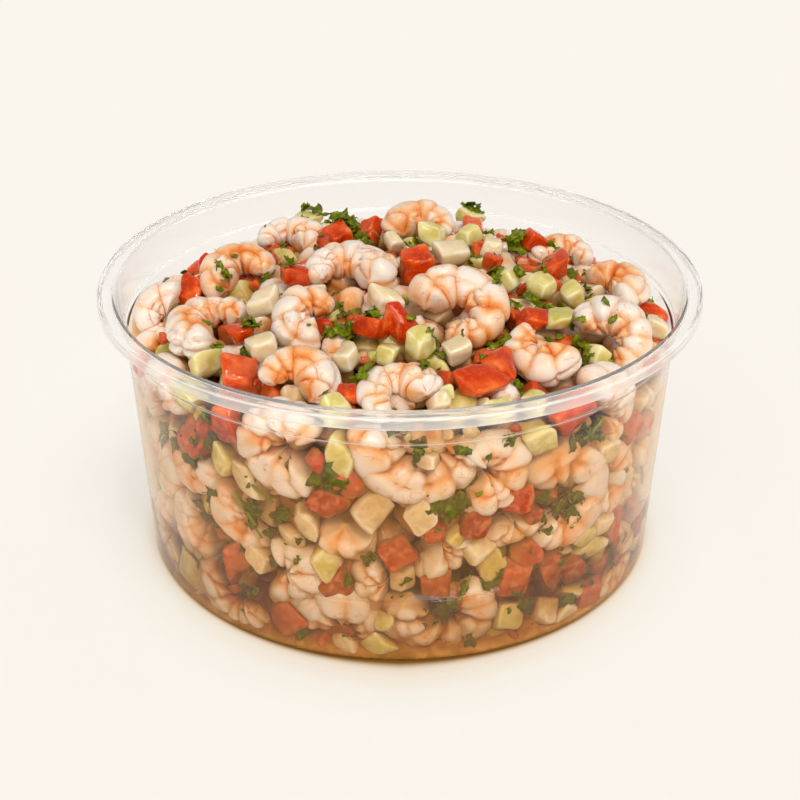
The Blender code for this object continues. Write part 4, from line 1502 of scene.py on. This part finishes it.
def plastic_look():
    """Clear plastic: a milky rim, painted highlights along its edges, a faint juice haze, and a painted
    sheen where the wall turns away.
    """
    look = Look("clear_plastic")
    height = look.height()
    rim = look.step(height, (RIM_HAZE - 1.2) * MM, RIM_HAZE * MM)
    roughness = look.most(look.scaled(look.noise(14.0, 2.0), 0.02, 0.02), look.times(rim, 0.10))
    clear = glass(look, (0.985, 0.98, 0.985, 1.0), roughness, 1.23)
    milk_and_painted_light = look.times(look.step(height, (RIM_HAZE - 1.4) * MM, (RIM_HAZE + 0.6) * MM), 0.09)
    # painted highlights: along the rim, lip and ledge the plastic is mixed with a lit pale diffuse
    milk_and_painted_light = look.most(milk_and_painted_light, look.times(look.value("painted_highlight"), 0.85))
    # the pale colour of the milky rim and of the painted highlights
    pale = look.mix(look.noise(20.0), linear(234, 234, 230), linear(240, 240, 236))
    wetted = look.step(height, (EDGE_HEIGHT + 1.0) * MM, (EDGE_HEIGHT - 6.0) * MM)
    # painted sheen: where the wall turns away from the view, below the heap's top, it is mixed with a lit
    # diffuse going from amber to pale
    aside = look.add("ShaderNodeLayerWeight", {"Blend": 0.5}).outputs["Facing"]
    painted_sheen = look.times(look.step(aside, 0.50, 0.95), look.step(height, 2.0 * MM, 24.0 * MM))
    # a faint juice haze where food lies behind the wall, and the painted sheen over it
    milk_and_painted_light = look.most(milk_and_painted_light, look.times(wetted, look.scaled(painted_sheen, 0.42, 0.05)))
    painted_sheen_colour = look.mix(look.step(aside, 0.40, 0.75), linear(200, 140, 62), linear(246, 216, 176))
    # the lit diffuse that carries the milky rim, the painted highlights and the painted sheen
    cloud = look.shader("BsdfDiffuse", {"Color": look.mix(wetted, pale, painted_sheen_colour)})
    return finish_clear(look, look.shader("MixShader", {0: milk_and_painted_light, 1: clear, 2: cloud}))


def juice_look():
    """Cloudy amber juice."""
    look = Look("cloudy_juice")
    roughness = look.scaled(look.noise(14.0, 2.0), 0.02, 0.04)
    amber = look.shader("VolumeAbsorption", {"Color": (0.84, 0.64, 0.28, 1.0), "Density": 300.0})
    return finish_clear(look, glass(look, (1.0, 1.0, 1.0, 1.0), roughness, 1.33), amber)


# ---------------------------------------------------------------- stage
def floor_look():
    """A pale floor: a painted contact shadow under the foot, painted amber light beside it, then an even
    white.
    """
    look = Look("floor_with_painted_shadow")
    plain = look.mix(look.noise(40.0, 2.0), (0.278, 0.268, 0.252, 1.0), (0.282, 0.272, 0.256, 1.0))
    flat = look.vector("MULTIPLY", {0: look.place, 1: (1.0, 1.0, 0.0)})[0]
    reach = look.vector("LENGTH", {0: flat})["Value"]
    across = look.math("ABSOLUTE", look.add("ShaderNodeSeparateXYZ", {"Vector": flat}).outputs["X"])
    # the painted shadow line is thinner at the sides than in front
    aside = look.times(look.math("DIVIDE", across, reach), 1.6)
    beyond = look.most(look.math("SUBTRACT", reach, (FOOT_RADIUS - 1.2) * MM), 0.0)
    reach = look.math("ADD", reach, look.times(look.math("MINIMUM", beyond, 3.4 * MM), aside))
    # painted contact shadow: close under the foot the floor's own colour turns dark brown
    tint = look.mix(look.step(reach, 51.0 * MM, 52.8 * MM), (0.10, 0.05, 0.01, 1.0), plain)
    spread = look.add("ShaderNodeMapRange", {
        "Value": reach, "From Min": 49.0 * MM, "From Max": 69.0 * MM,
    }).outputs[0]
    # the emission paints the light: dark brown under the foot as painted shadow, then painted amber light,
    # then the even pale floor
    glow = look.shader("Emission", {"Color": look.ramp(spread, [
        (0.0, (0.107, 0.045, 0.007, 1.0)), (0.11, (0.11, 0.045, 0.005, 1.0)),
        (0.16, (0.33, 0.20, 0.075, 1.0)), (0.20, (0.50, 0.37, 0.24, 1.0)),
        (0.24, (0.575, 0.475, 0.375, 1.0)), (0.35, (0.605, 0.535, 0.440, 1.0)),
        (0.55, (0.640, 0.600, 0.535, 1.0)), (1.0, (0.666, 0.638, 0.595, 1.0)),
    ])})
    return look.finish(look.shader("AddShader", {0: look.shader("BsdfDiffuse", {"Color": tint}), 1: glow}))


FLOOR_HALF_SIZE = 6.0


def floor_piece():
    """A wide square floor."""
    mesh = bpy.data.meshes.new("floor")
    corners = [(-1, -1, 0), (1, -1, 0), (1, 1, 0), (-1, 1, 0)]
    mesh.from_pydata([FLOOR_HALF_SIZE * Vector(corner) for corner in corners], [], [(0, 1, 2, 3)])
    mesh.materials.append(floor_look())
    scene_object("floor", mesh)


# strength, spread, elevation, azimuth and colour of each lamp; angles in degrees
LAMPS = {
    "key": (1.24, 30.0, 54.0, -60.0, (1.0, 0.99, 0.97)),
    "front": (0.80, 44.0, 30.0, -112.0, (1.0, 0.99, 0.975)),
    "sparkle": (0.46, 5.0, 60.0, -66.0, (1.0, 0.99, 0.98)),
}


def lamp(name, strength, spread, elevation, azimuth, colour):
    """A far, broad light."""
    data = bpy.data.lights.new(name, "SUN")
    data.energy = strength
    data.angle = math.radians(spread)
    data.color = colour
    rise = math.radians(elevation)
    towards = Vector((*polar(math.cos(rise), math.radians(azimuth)), math.sin(rise)))
    scene_object(name, data).rotation_euler = towards.to_track_quat("Z", "Y").to_euler()


def sky():
    """A soft even sky, as pale as the floor where it is seen itself, past the floor's end."""
    look = Look("studio", bpy.data.worlds)
    bpy.context.scene.world = look.block
    path = look.add("ShaderNodeLightPath").outputs
    past_plastic = look.math("SUBTRACT", path["Is Transmission Ray"], path["Diffuse Depth"])
    past_plastic.node.use_clamp = True
    direct = look.most(path["Is Camera Ray"], past_plastic)
    light = look.shader("Background", {"Color": linear(252, 249, 244), "Strength": 0.48})
    seen = look.shader("Background", {"Color": linear(251, 245, 237)})
    either = look.shader("MixShader", {0: direct, 1: light, 2: seen})
    look.add("ShaderNodeOutputWorld", {"Surface": either})


CAMERA_ELEVATION = math.radians(28.3)
CAMERA_DISTANCE = 0.3258
AIM_HEIGHT = 0.0272


def camera():
    """A view from the front and above."""
    data = bpy.data.cameras.new("camera")
    data.lens = 72.0
    data.sensor_width = 36.0
    data.clip_start = 0.01
    item = scene_object("camera", data)
    back, up = polar(CAMERA_DISTANCE, CAMERA_ELEVATION)
    item.location = (0.0, -back, AIM_HEIGHT + up)
    item.rotation_euler = (math.pi / 2 - CAMERA_ELEVATION, 0.0, 0.0)
    bpy.context.scene.camera = item


# ---------------------------------------------------------------- put together
def part_of(piece):
    """A piece's mesh as a part, in millimetres."""
    points = np.empty(len(piece.data.vertices) * 3, np.float32)
    piece.data.vertices.foreach_get("co", points)
    triangles = np.empty(len(piece.data.loops), np.int32)
    piece.data.loops.foreach_get("vertex_index", triangles)
    return points.reshape(-1, 3) / MM, triangles.reshape(-1, 3)


# stations along the body and points round it, for shrimp that are seen well and the others
SHRIMP_DETAIL = {"shrimp_front": (64, 34), "shrimp_behind": (34, 17)}
SETTLING_ROUNDS = 50

rng = np.random.default_rng(SEED)
looks = {
    "shrimp": shrimp_look(), "tomato": tomato_look(), "cucumber": cucumber_look(),
    "onion": onion_look(), "cilantro": cilantro_look(),
}
tub_piece(plastic_look())
juice_piece(juice_look())
core_piece(core_look())
heroes = top_shrimp(rng, looks["shrimp"]) + top_dice(rng, looks)

items = laid_out_at_wall(rng) + scattered_at_wall(rng) + top_items(rng)
settle(items, SETTLING_ROUNDS)
heaps = {name: [] for name in [*SHRIMP_DETAIL, *KINDS]}
for item in items:
    name = item["kind"]
    if name == "shrimp":
        name = "shrimp_front" if item["near"] else "shrimp_behind"
    heaps[name].append(item_mesh(item, rng, *SHRIMP_DETAIL.get(name, ())))

placed = [part for parts in heaps.values() for part in parts] + [part_of(piece) for piece in heroes]
for kind, bits in small_bits(rng, tree_of(placed)).items():
    heaps[kind] += bits
    placed += bits
heaps.update(chopped_cilantro(rng, tree_of(placed)))
for name, parts in heaps.items():
    kind = name.split("_")[0]
    finish_piece(mesh_object(name + "_heap" if name == kind else name, *join(parts)), looks[kind])

floor_piece()
sky()
for name, settings in LAMPS.items():
    lamp(name, *settings)
camera()
bpy.context.scene.view_settings.view_transform = "Standard"
